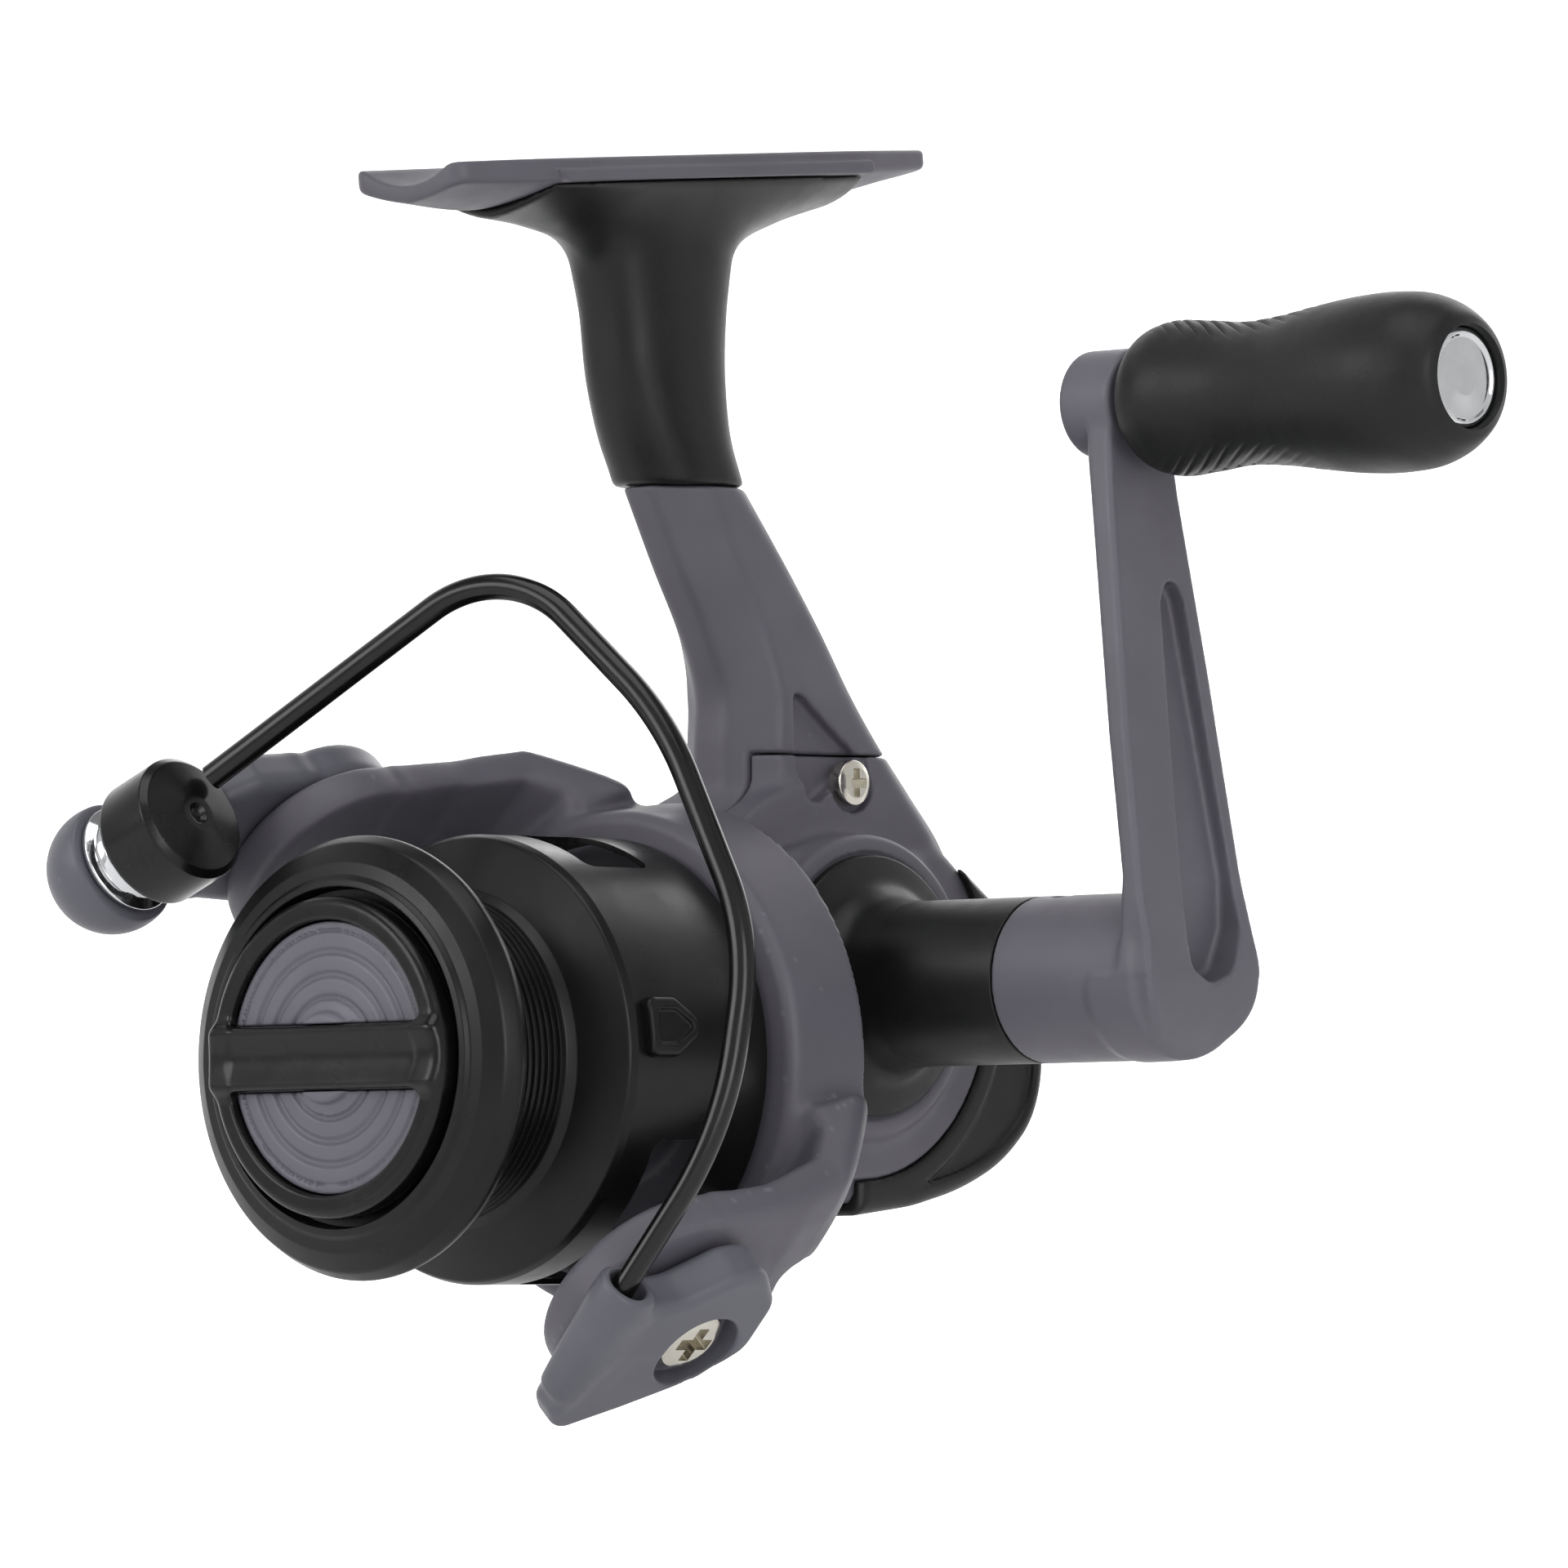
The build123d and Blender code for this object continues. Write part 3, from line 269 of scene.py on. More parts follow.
def sculpt(name, low, high, cell, field, place, material):
    """Mesh the zero surface of a distance field between two corners."""
    axes = [np.arange(low[i] - 2 * cell, high[i] + 2.5 * cell, cell) for i in range(3)]
    x = axes[0][:, None, None]
    y = axes[1][None, :, None]
    z = axes[2][None, None, :]
    values = np.broadcast_to(field(x, y, z), [len(a) for a in axes])
    values = np.clip(values / cell, -3, 3).astype(np.float32)
    grid = openvdb.FloatGrid(3.0)
    grid.copyFromArray(np.ascontiguousarray(values))
    points, triangles, quads = grid.convertToPolygons(isovalue=0.0, adaptivity=0.0)
    points = points * cell + np.array([a[0] for a in axes])
    mesh = bpy.data.meshes.new(name)
    mesh.vertices.add(len(points))
    mesh.vertices.foreach_set("co", points.astype(np.float32).ravel())
    corners = np.concatenate([quads[:, ::-1].ravel(), triangles[:, ::-1].ravel()])
    sizes = np.concatenate([np.full(len(quads), 4), np.full(len(triangles), 3)])
    starts = np.concatenate([[0], np.cumsum(sizes)[:-1]])
    mesh.loops.add(len(corners))
    mesh.loops.foreach_set("vertex_index", corners.astype(np.int32))
    mesh.polygons.add(len(sizes))
    mesh.polygons.foreach_set("loop_start", starts.astype(np.int32))
    mesh.update(calc_edges=True)
    return finish_piece(name, mesh, place, material)


def lathe(name, profile, axis, centre, place, material, radius, turns=TURNS):
    """Turn an outline of (along, radius) about an axis of the drawing frame, X or Y."""
    points = fillet_points(profile, radius, 5)
    verts = []
    faces = []
    rings = len(points)
    for k in range(turns):
        a = 2 * pi * k / turns
        for along, r in points:
            r = max(r, 0.0)
            if axis == "Y":
                verts.append((centre[0] + r * sin(a), along, centre[1] + r * cos(a)))
            else:
                verts.append((along, centre[0] + r * cos(a), centre[1] + r * sin(a)))
    for k in range(turns):
        n = (k + 1) % turns
        for i in range(rings):
            j = (i + 1) % rings
            faces.append((k * rings + i, n * rings + i, n * rings + j, k * rings + j))
    piece = heal(new_piece(name, verts, faces, place, material))
    crease(piece, 38)
    return piece


def heal(piece):
    """Weld the points that meet and turn every face outward."""
    shape = bmesh.new()
    shape.from_mesh(piece.data)
    bmesh.ops.remove_doubles(shape, verts=shape.verts, dist=1e-7)
    bmesh.ops.dissolve_degenerate(shape, edges=shape.edges, dist=1e-7)
    bmesh.ops.recalc_face_normals(shape, faces=shape.faces)
    shape.to_mesh(piece.data)
    shape.free()
    return piece


def crease(piece, angle):
    """Shade smooth, with sharp edges above the angle in degrees."""
    piece.data.polygons.foreach_set("use_smooth", [True] * len(piece.data.polygons))
    piece.data.set_sharp_from_angle(angle=radians(angle))


def cut(piece, tools):
    """Boolean difference, applied."""
    for tool in tools:
        modifier = piece.modifiers.new("cut", "BOOLEAN")
        modifier.operation = "DIFFERENCE"
        modifier.solver = "EXACT"
        modifier.object = tool
    graph = bpy.context.evaluated_depsgraph_get()
    mesh = bpy.data.meshes.new_from_object(piece.evaluated_get(graph))
    piece.modifiers.clear()
    old = piece.data
    piece.data = mesh
    bpy.data.meshes.remove(old)
    for tool in tools:
        bpy.data.objects.remove(tool)


def prism(name, points, low, high, frame_matrix, place, material, radius):
    """A straight prism of an outline in the x-y plane of frame_matrix, from low to high."""
    points = fillet_points(points, radius)
    n = len(points)
    verts = [frame_matrix @ Vector((u, v, w)) for w in (low, high) for u, v in points]
    faces = [tuple(range(n))[::-1], tuple(range(n, 2 * n))]
    faces += [(i, (i + 1) % n, n + (i + 1) % n, n + i) for i in range(n)]
    return heal(new_piece(name, verts, faces, place, material))


def ring_quads(first, second, around):
    """Quads between two rings of points, each given by the number of its first point."""
    return [
        (first + k, first + (k + 1) % around, second + (k + 1) % around, second + k)
        for k in range(around)
    ]


def stand_in(piece, body, node):
    """Put a finished piece on its body in place of a CAD node."""
    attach(piece, body)
    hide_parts(node)


# ---- materials ----


def new_material(name):
    """An empty material: itself, its node tree, its shader and the object's own coordinates."""
    material = bpy.data.materials.new(name)
    material.use_nodes = True
    tree = material.node_tree
    return material, tree, tree.nodes["Principled BSDF"], tree.nodes.new("ShaderNodeTexCoord")


def noise_node(tree, coords, scale, detail=4.0, rough=0.6):
    """Noise over the object, at `scale` cells to the metre."""
    texture = tree.nodes.new("ShaderNodeTexNoise")
    texture.inputs["Scale"].default_value = scale
    texture.inputs["Detail"].default_value = detail
    texture.inputs["Roughness"].default_value = rough
    tree.links.new(coords.outputs["Object"], texture.inputs["Vector"])
    return texture.outputs["Fac"]


def ramp_node(tree, source, low, high, start=0.3, end=0.7):
    """A field turned into the colours from low to high."""
    ramp = tree.nodes.new("ShaderNodeValToRGB")
    ramp.color_ramp.elements[0].position = start
    ramp.color_ramp.elements[0].color = (*low, 1)
    ramp.color_ramp.elements[1].position = end
    ramp.color_ramp.elements[1].color = (*high, 1)
    tree.links.new(source, ramp.inputs["Fac"])
    return ramp.outputs["Color"]


def gloss_node(tree, shader, source, low, high):
    """Roughness that wanders between low and high with a field."""
    tree.links.new(ramp_node(tree, source, (low,) * 3, (high,) * 3), shader.inputs["Roughness"])


def relief_node(tree, shader, source, strength, depth):
    """Fine relief on a shader, with its depth in metres."""
    relief = tree.nodes.new("ShaderNodeBump")
    relief.inputs["Strength"].default_value = strength
    relief.inputs["Distance"].default_value = depth
    tree.links.new(source, relief.inputs["Height"])
    tree.links.new(relief.outputs["Normal"], shader.inputs["Normal"])


def worn_edges(tree, coords, base, color, wear):
    """Lighter, patchy scuffs over the base colour, where the surface is sharp."""
    geometry = tree.nodes.new("ShaderNodeNewGeometry")
    edge = ramp_node(tree, geometry.outputs["Pointiness"], (0, 0, 0), (1, 1, 1), 0.58, 0.70)
    patchy = tree.nodes.new("ShaderNodeMath")
    patchy.operation = "MULTIPLY"
    tree.links.new(edge, patchy.inputs[0])
    tree.links.new(noise_node(tree, coords, 700.0, 5.0), patchy.inputs[1])
    amount = tree.nodes.new("ShaderNodeMath")
    amount.operation = "MULTIPLY"
    amount.inputs[1].default_value = wear
    tree.links.new(patchy.outputs[0], amount.inputs[0])
    mix = tree.nodes.new("ShaderNodeMix")
    mix.data_type = "RGBA"
    tree.links.new(amount.outputs[0], mix.inputs["Factor"])
    tree.links.new(base, mix.inputs[6])
    mix.inputs[7].default_value = (*(min(c * 2.6 + 0.05, 1) for c in color), 1)
    return mix.outputs[2]


def moulded(name, color, rough, grain=9000.0, bump=0.02, vary=0.12, wear=0.0, coat=0.0, specular=0.5):
    """Moulded or painted surface: fine texture, slow colour drift, uneven gloss and worn edges."""
    material, tree, shader, coords = new_material(name)
    shader.inputs["Coat Weight"].default_value = coat
    shader.inputs["Coat Roughness"].default_value = 0.12
    shader.inputs["Specular IOR Level"].default_value = specular
    dark = [c * (1 - vary) for c in color]
    light = [min(c * (1 + vary), 1) for c in color]
    base = ramp_node(tree, noise_node(tree, coords, 55.0, 3.0), dark, light)
    if wear > 0:
        base = worn_edges(tree, coords, base, color, wear)
    tree.links.new(base, shader.inputs["Base Color"])
    gloss_node(tree, shader, noise_node(tree, coords, 240.0, 6.0), rough - 0.07, rough + 0.07)
    relief_node(tree, shader, noise_node(tree, coords, grain, 2.0), bump, 0.0004)
    return material


def turned_metal(name, color, rough, brush=0.05):
    """Machined or plated metal with faint tool marks and uneven polish."""
    material, tree, shader, coords = new_material(name)
    shader.inputs["Metallic"].default_value = 1.0
    dark = [c * 0.88 for c in color]
    light = [min(c * 1.06, 1) for c in color]
    base = ramp_node(tree, noise_node(tree, coords, 180.0), dark, light)
    tree.links.new(base, shader.inputs["Base Color"])
    marks = noise_node(tree, coords, 2600.0, 3.0, 0.5)
    gloss_node(tree, shader, marks, max(rough - 0.05, 0.02), rough + 0.07)
    relief_node(tree, shader, marks, brush, 0.0001)
    return material


GREY = (0.105, 0.100, 0.121)
GREY_COOL = (0.103, 0.104, 0.126)
BLACK = (0.0075, 0.0080, 0.0075)
BLACK_DEEP = (0.0040, 0.0042, 0.0040)

grey_body = moulded("grey_body", GREY, 0.52, wear=0.35, bump=0.05)
grey_rotor = moulded("grey_rotor", GREY, 0.50, wear=0.5, bump=0.05)
grey_lever = moulded("grey_lever", GREY_COOL, 0.46, wear=0.3, bump=0.04)
GREY_BRIGHT = tuple(1.08 * c for c in GREY)
grey_handle = moulded("grey_handle", GREY_BRIGHT, 0.50, wear=0.45, bump=0.05, coat=0.05)
grey_trim = moulded("grey_trim", (0.120, 0.114, 0.140), 0.42, bump=0.04)
black_satin = moulded("black_satin", BLACK, 0.40, bump=0.05, vary=0.2, wear=0.1, specular=0.34)
black_rubber = moulded(
    "black_rubber", (0.0085, 0.0092, 0.0085), 0.46, grain=6000.0, bump=0.08, vary=0.2, specular=0.32,
)
black_spool = moulded("black_spool", (0.0045, 0.0047, 0.0045), 0.33, vary=0.2, specular=0.32)
black_gloss = moulded("black_gloss", BLACK_DEEP, 0.24, bump=0.01, specular=0.36)
black_wire = moulded("black_wire", BLACK_DEEP, 0.20, bump=0.01, specular=0.45)
chrome = turned_metal("chrome", (0.80, 0.81, 0.83), 0.07, brush=0.01)
nickel = turned_metal("nickel", (0.70, 0.67, 0.60), 0.16, brush=0.06)
steel = turned_metal("steel", (0.52, 0.53, 0.55), 0.28, brush=0.08)
zinc = turned_metal("zinc", (0.45, 0.45, 0.46), 0.42, brush=0.15)
brass = turned_metal("brass", (0.70, 0.50, 0.22), 0.25, brush=0.08)
nylon = moulded("nylon", (0.66, 0.64, 0.58), 0.45, bump=0.05, vary=0.05)
felt = moulded("felt", (0.34, 0.31, 0.26), 0.9, grain=3500.0, bump=0.5, vary=0.25)

NODE_MATERIALS = {
    grey_body: ("foot", "body_shell", "side_cover"),
    grey_rotor: ("rotor", "bail_lever", "roller_lever"),
    grey_handle: ("handle_arm",),
    grey_trim: ("drag_knob_disc",),
    black_satin: ("rear_cap", "stem_grip", "handle_boss", "left_cap", "anti_reverse_lever"),
    black_rubber: ("knob_grip",),
    black_spool: ("spool", "line_clip"),
    black_gloss: ("drag_knob", "roller_cone"),
    black_wire: ("bail_wire",),
    chrome: ("knob_cap", "line_roller"),
    nickel: ("cover_screws", "bail_screws"),
    steel: (
        "handle_shaft", "knob_post", "main_shaft", "guide_rod", "gear_post", "crank_pin",
        "roller_pin", "slider_screw", "pinion_bearing", "bearing_balls", "bearing_race",
        "clutch_ring", "clutch_rollers", "clutch_sleeve", "bail_spring", "drag_plates",
        "drag_retainer", "spool_washer",
    ),
    zinc: ("drive_gear", "oscillation_driver"),
    brass: ("pinion_gear", "rotor_nut", "drag_nut", "drive_bushes"),
    nylon: ("click_wheel", "click_pawl", "slider", "oscillation_gear"),
    felt: ("drag_felts",),
}
for finish, names in NODE_MATERIALS.items():
    for node_name in names:
        data = frame["nodes"][node_name].data
        data.materials.clear()
        data.materials.append(finish)
        crease(frame["nodes"][node_name], 30)

# ---- foot ----
GROOVE_R = 8.0
# sections along the foot: place, half width, depth of the keel
FOOT = (
    (-27.2, 5.6, 3.0), (-20.0, 7.1, 3.6), (-14.0, 7.5, 3.0), (0.0, 7.5, 2.6),
    (10.0, 7.5, 3.0), (17.0, 7.2, 3.6), (27.2, 5.6, 2.4),
)


def foot_field(x, y, z):
    half = track(y, FOOT, 1)
    keel = track(y, FOOT, 2)
    side = np.abs(x)
    plan = edge_round(side - half, np.abs(y) - FOOT_HALF, 1.4)
    plate = edge_round(plan, z, 0.35)
    flat = -(z + keel)
    slope = ((side - half) * (keel - FOOT_EDGE) - (z + FOOT_EDGE) * 0.6 * half) / np.sqrt(
        (keel - FOOT_EDGE) ** 2 + (0.6 * half) ** 2
    )
    plate = common(plate, common(flat, slope, 2.0), 0.5)
    # raised lip along each long edge, above the grip
    length = common(band(y, -18.5, 18.2), -(y + 17.0) - 1.1 * (z + 1.8))
    lip = edge_round(band(z, -1.85, -0.8), length, 0.3)
    lip = edge_round(lip, band(side, 5.0, 7.9), 0.25)
    plate = merge(plate, lip, 0.25)
    # saddle groove that runs out behind the front tip
    groove_depth = 1.5 * (1 - (y + FOOT_HALF) / 13.0)
    groove = np.sqrt(x ** 2 + (z - GROOVE_R + groove_depth) ** 2) - GROOVE_R
    return carve(plate, groove, 0.35)


stand_in(sculpt(
    "foot_plate", (-8.2, -27.6, -4.4), (8.2, 27.6, 0.4), FINE, foot_field, FOOT_FRAME, grey_body,
), "frame", "foot")

# ---- grip under the foot ----
# column sections: height, middle, length, width
GRIP = (
    (44.0, -9.9, 10.3, 8.7), (46.0, -10.7, 10.4, 8.6), (48.5, -11.8, 10.8, 8.5),
    (53.0, -12.85, 11.8, 8.4), (59.0, -13.2, 13.0, 8.5), (63.0, -13.4, 14.6, 9.0),
    (69.0, -13.4, 17.0, 9.6),
)
# saddle under the plate: place along the foot, depth of its keel
SADDLE = (
    (-19.5, 4.0), (-14.5, 4.75), (-10.0, 5.8), (0.0, 6.8), (9.0, 6.6), (15.3, 5.0), (20.8, 3.9),
)
SADDLE_EDGE = 1.8
SQUARE = 2.6                             # exponent of the column's section, 2 for an ellipse
reel_from_foot = (FOOT_FRAME.inverted() @ HANG).inverted()


def grip_field(x, y, z):
    """The grip, in the foot's frame; its column is read in the reel's frame."""
    ry, rz = (row[1] * y + row[2] * z + row[3] for row in reel_from_foot[1:3])
    middle = track(rz, GRIP, 1)
    half_l = track(rz, GRIP, 2) / 2
    half_w = track(rz, GRIP, 3) / 2
    lean = ry - middle
    ratio = (np.abs(x / half_w) ** SQUARE + np.abs(lean / half_l) ** SQUARE) ** (1 / SQUARE)
    column = (ratio - 1) * np.minimum(half_l, half_w) * 1.05
    column = common(column, 45.15 - rz, 0.5)
    column = common(column, z + FOOT_EDGE, 0.0)
    keel = track(y, SADDLE, 1)
    half = track(y, FOOT, 1) - 0.25
    side = np.abs(x)
    plan = edge_round(side - half, band(y, -18.6, 20.6), 2.0)
    # slanted ends: the saddle reaches further along the keel than along the edges
    plan = common(plan, (-y - 17.2 + 0.60 * (z + FOOT_EDGE)) * 0.86, 0.5)
    plan = common(plan, (y - 18.0 + 0.90 * (z + FOOT_EDGE)) * 0.74, 0.5)
    fall = keel - (keel - SADDLE_EDGE) * np.clip(side / 7.4, 0, 1.3) ** 1.5
    saddle = common(plan, -(z + fall) * 0.88, 0.8)
    saddle = common(saddle, z + FOOT_EDGE + 0.12, 0.15)
    return merge(column, saddle, 2.6)


def grip_under_foot(x, y, z):
    return carve(grip_field(x, y, z), foot_field(x, y, z) - 0.06)


stand_in(sculpt(
    "stem_grip_soft", (-8.0, -22.0, -27.5), (8.0, 22.0, -0.6), MEDIUM, grip_under_foot, FOOT_FRAME,
    black_satin,
), "frame", "stem_grip")

# ---- body and side cover ----
# stem sections: height, nose, side from, side to, back, half width
STEM = (
    (10.0, -7.6, -4.1, 11.3, 14.4, 8.7), (17.6, -7.4, -4.1, 9.9, 12.8, 8.2),
    (21.4, -7.2, -4.1, 7.6, 10.4, 7.3), (25.0, -7.1, -4.2, 5.8, 8.2, 6.2),
    (28.6, -6.9, -4.1, 3.9, 6.2, 5.3), (34.0, -9.1, -5.5, 0.8, 3.0, 4.7),
    (38.8, -11.9, -8.1, -2.6, -0.3, 4.4), (45.1, -15.3, -11.1, -7.9, -5.2, 4.25),
)
CASE = (
    (-16.4, -8.6), (-13.0, -11.0), (1.0, -11.2), (11.2, -9.9), (15.9, -7.9), (18.8, -4.9),
    (20.3, -1.0), (20.3, 5.4), (18.8, 9.3), (15.6, 12.4), (11.8, 16.4), (-7.4, 16.4),
    (-11.0, 15.2), (-16.4, 15.2),
)
NOSE_HALF = 1.5


def stem_field(x, y, z):
    nose = track(z, STEM, 1)
    front = track(z, STEM, 2)
    rear = track(z, STEM, 3)
    back = track(z, STEM, 4)
    half = track(z, STEM, 5)
    side = np.abs(x)
    front_half = np.minimum(half, 5.2)
    body = np.maximum(nose - y, y - back)
    body = common(body, flank(side, y, NOSE_HALF, nose, front_half, front), 0.5)
    body = common(body, flank(side, y, front_half, front, half, rear), 0.5)
    body = common(body, flank(side, y, half, rear, half - 2.0, back), 0.8)
    return common(body, band(z, 9.0, 45.05), 0.35)


def case_field(x, y, z):
    side = np.abs(x)
    round_handle = disc(y, z, 0, HANDLE_Z, 0)
    case = edge_round(outline(y, z, CASE, 12.0), side - 8.7, 0.8)
    case = merge(case, edge_round(round_handle - 16.2, side - 6.2, 0.6), 0.8)
    cheek = edge_round(round_handle - CHEEK_R, side - 9.4, 0.25)
    cheek = common(cheek, z - 9.0, 0.5)
    case = merge(case, cheek, 0.3)
    case = merge(case, stem_field(x, y, z), 1.6)
    # raised rim round the black disc
    drum = edge_round(round_handle - DRUM_R, side - DRUM_X - 0.25, 0.7)
    case = merge(case, drum, 1.6)
    seat = edge_round(round_handle - 10.55, np.abs(side - 12.0) - 1.75, 0.1)
    case = carve(case, seat, 0.15)
    # open in front, where the rotor's hub turns
    return carve(case, np.maximum(y + 10.95, np.abs(z) - 15.0), 0.4)


def body_dimple(x, y, z):
    """Three-cornered dimple on the right flank, across the seam."""
    points = ((-2.8, 29.2), (-1.5, 28.7), (3.4, 24.4), (3.4, 23.8), (-1.0, 20.4), (-2.6, 20.6))
    hollow = edge_round(outline(y, z, points, 0.9), -(stem_field(x, y, z) + 1.15), 0.4)
    return np.maximum(hollow, 3.2 - x)


SCREW = (2.2, 22.0)


def screw_notch(x, y, z):
    """Notch for the screw under the seam."""
    slot = disc(y, z, SCREW[0] + 0.15, SCREW[1] - 0.15, 2.2)
    width = band(y, SCREW[0] - 2.0, SCREW[0] + 2.3)
    above = edge_round(width, band(z, SCREW[1], SEAM_Z + 0.05), 0.2)
    return np.maximum(merge(slot, above, 0.3), 5.9 - x)


def whole_body(x, y, z):
    body = case_field(x, y, z)
    body = carve(body, body_dimple(x, y, z), 0.35)
    return carve(body, screw_notch(x, y, z), 0.12)


def cover_zone(x, y, z):
    return np.maximum(np.maximum(SEAM_X - x, z - SEAM_Z), -(y + 14.8))


def body_main(x, y, z):
    return carve(whole_body(x, y, z), cover_zone(x, y, z) - SEAM_HALF, 0.12)


def body_cover(x, y, z):
    return common(whole_body(x, y, z), cover_zone(x, y, z) + SEAM_HALF, 0.12)


stand_in(sculpt(
    "body_main", (-11.0, -16.8, -12.0), (11.0, 21.0, 45.6), MEDIUM, body_main, HANG, grey_body,
), "frame", "body_shell")
stand_in(sculpt(
    "body_side_cover", (2.8, -15.2, -12.0), (11.0, 21.0, 24.6), MEDIUM, body_cover, HANG, grey_body,
), "frame", "side_cover")

# ---- rear cap ----
CAP = (
    (-0.6, -12.2, 0.5), (6.6, -11.4, 20.0), (12.4, -10.1), (17.2, -8.0), (20.6, -5.0),
    (22.0, -1.4), (22.0, 5.8), (20.2, 10.3), (15.6, 13.4), (12.2, 15.8, 0.6), (11.0, 12.0),
    (8.0, -6.0), (-0.6, -8.0),
)


def cap_field(x, y, z):
    side = np.abs(x)
    edge = outline(y, z, CAP, 30.0)
    cap = edge_round(edge, side - 9.6, 1.3)
    cap = carve(cap, disc(y, z, 0, HANDLE_Z, CHEEK_R + 0.08), 0.1)
    cap = carve(cap, case_field(x, y, z) - 0.05)
    # sunk panel on each side
    panel = np.maximum(edge + 1.6, CHEEK_R + 1.9 - disc(y, z, 0, HANDLE_Z, 0))
    return carve(cap, edge_round(panel, 9.15 - side, 0.15), 0.25)


stand_in(sculpt(
    "rear_cap_shell", (-10.0, -1.2, -12.8), (10.0, 22.6, 17.0), MEDIUM, cap_field, HANG, black_satin,
), "frame", "rear_cap")

# ---- turned parts on the handle axis ----
stand_in(lathe(
    "handle_boss_turned",
    (
        (DRUM_X - 0.1, 2.6), (DRUM_X - 0.1, 10.25), (11.0, 10.25, 0.3), (11.25, 9.3, 0.8),
        (11.6, 8.0, 2.2), (13.0, 6.85, 3.5), (16.0, HUB_R, 6.0), (HUB_START - 0.15, HUB_R, 0.12),
        (HUB_START - 0.15, 2.6),
    ),
    "X", (0, HANDLE_Z), HANG, black_satin, radius=0.05,
), "frame", "handle_boss")
stand_in(lathe(
    "left_cap_turned",
    (
        (-13.2, 0.0), (-13.2, 4.6, 0.4), (-14.0, 5.2, 0.3), (-14.0, 6.2, 0.5), (-12.7, 7.0, 1.5),
        (-12.0, 9.2, 1.0), (-11.2, 10.25, 0.4), (-DRUM_X + 0.1, 10.25), (-DRUM_X + 0.1, 0.0),
    ),
    "X", (0, HANDLE_Z), HANG, black_satin, radius=0.05,
), "frame", "left_cap")

# ---- crank handle ----
BLADE_BEND = 13.4                        # height where the inner face turns up from the hub
BLADE_SIDE = (
    (38.6, HANDLE_Z - HUB_R), (39.6, HANDLE_Z - HUB_R), (42.8, -0.4, 30.0), (44.9, 2.4, 30.0),
    (45.3, 6.8, 30.0), (44.1, 12.8, 20.0), (42.35, 24.4, 60.0), (39.5, 44.0, 60.0),
    (38.9, KNOB_Z + 3.6), (36.3, KNOB_Z + 3.6), (36.9, 46.0, 30.0), (40.3, 24.4, 60.0),
    (42.1, BLADE_BEND, 3.0), (41.9, HANDLE_Z, 1.0), (38.6, HANDLE_Z),
)
BLADE_FRONT = (
    (-6.5, HANDLE_Z), (-6.5, 11.5), (-5.75, 24.4), (-4.2, 43.0), (-3.7, KNOB_Z), (3.6, KNOB_Z),
    (3.75, 44.5), (4.95, 28.6), (5.7, 14.1), (6.48, HANDLE_Z),
)
POCKET = (
    (-1.75, 8.4, 1.0), (0.2, 34.6, 1.2), (1.2, 36.4, 1.2), (2.5, 36.1, 1.0), (3.0, 34.8, 1.0),
    (4.7, 9.6, 1.5), (3.4, 6.2, 1.6), (0.8, 5.2, 1.6), (-1.5, 6.4, 1.5),
)


def crank_field(x, y, z):
    side = outline(x, z, BLADE_SIDE, 1.2)
    front = outline(y, z, BLADE_FRONT)
    front = merge(front, disc(y, z, 0, HANDLE_Z, HUB_R), 0.5)
    front = merge(front, disc(y, z, 0, KNOB_Z, 3.65), 0.5)
    blade = edge_round(side, front, 0.45)
    hub = edge_round(disc(y, z, 0, HANDLE_Z, HUB_R), band(x, HUB_START, 43.0), 0.1)
    crank = merge(blade, hub, 0.9)
    crest = edge_round(disc(y, z, 0, KNOB_Z, 4.15), band(x, 34.2, CRANK_X - 0.3), 0.4)
    crank = merge(crank, crest, 0.35)
    mouth = outline(y, z, POCKET, 1.0)
    # its floor keeps a thin wall, and slopes where the blade meets the hub
    above = z - BLADE_BEND
    depth = 42.6 - 0.16 * np.maximum(above, 0) - 0.05 * np.maximum(-above, 0)
    pocket = edge_round(mouth, depth - x, 0.5)
    crank = carve(crank, pocket, 0.3)
    # small moulding notch on top of the hub
    nick = edge_round(disc(x, y, 31.2, -0.6, 0.9), HANDLE_Z + HUB_R - 0.35 - z, 0.1)
    return carve(crank, nick, 0.15)


stand_in(sculpt(
    "handle_crank", (28.6, -6.9, -1.0), (45.6, 6.9, 54.6), FINE * 1.15, crank_field, HANG,
    grey_handle,
), "handle", "handle_arm")

# ---- knob ----
KNOB = (
    (CRANK_X, 1.6), (CRANK_X, 2.9), (40.1, 4.3), (41.2, 5.35), (43.0, 5.95), (46.0, 5.85),
    (50.0, 5.5), (54.0, 5.75), (58.0, 6.3), (62.0, 6.75), (65.5, 6.85), (68.5, 6.5), (70.6, 5.6),
    (71.7, 4.7), (KNOB_END, 4.05),
)
CAP_SEAT = (
    (KNOB_END - 0.15, 3.95), (KNOB_END - 0.9, 3.88), (KNOB_END - 2.2, 3.88), (KNOB_END - 2.2, 0.4),
)


def vein_depth(x, spread):
    """Depth of the leaf-vein grooves, `spread` away from the knob's top or bottom line."""
    if not (42.0 < x < 60.0 and spread < 4.6):
        return 0.0
    fade = max(0.0, 1 - (abs(x - 50.5) / 8.8) ** 3) * max(0.0, 1 - (spread / 4.4) ** 4)
    wave = cos(2 * pi * ((x - 47.5) - 1.25 * spread) / 1.45)
    return 0.17 * fade * max(0.0, wave) ** 2


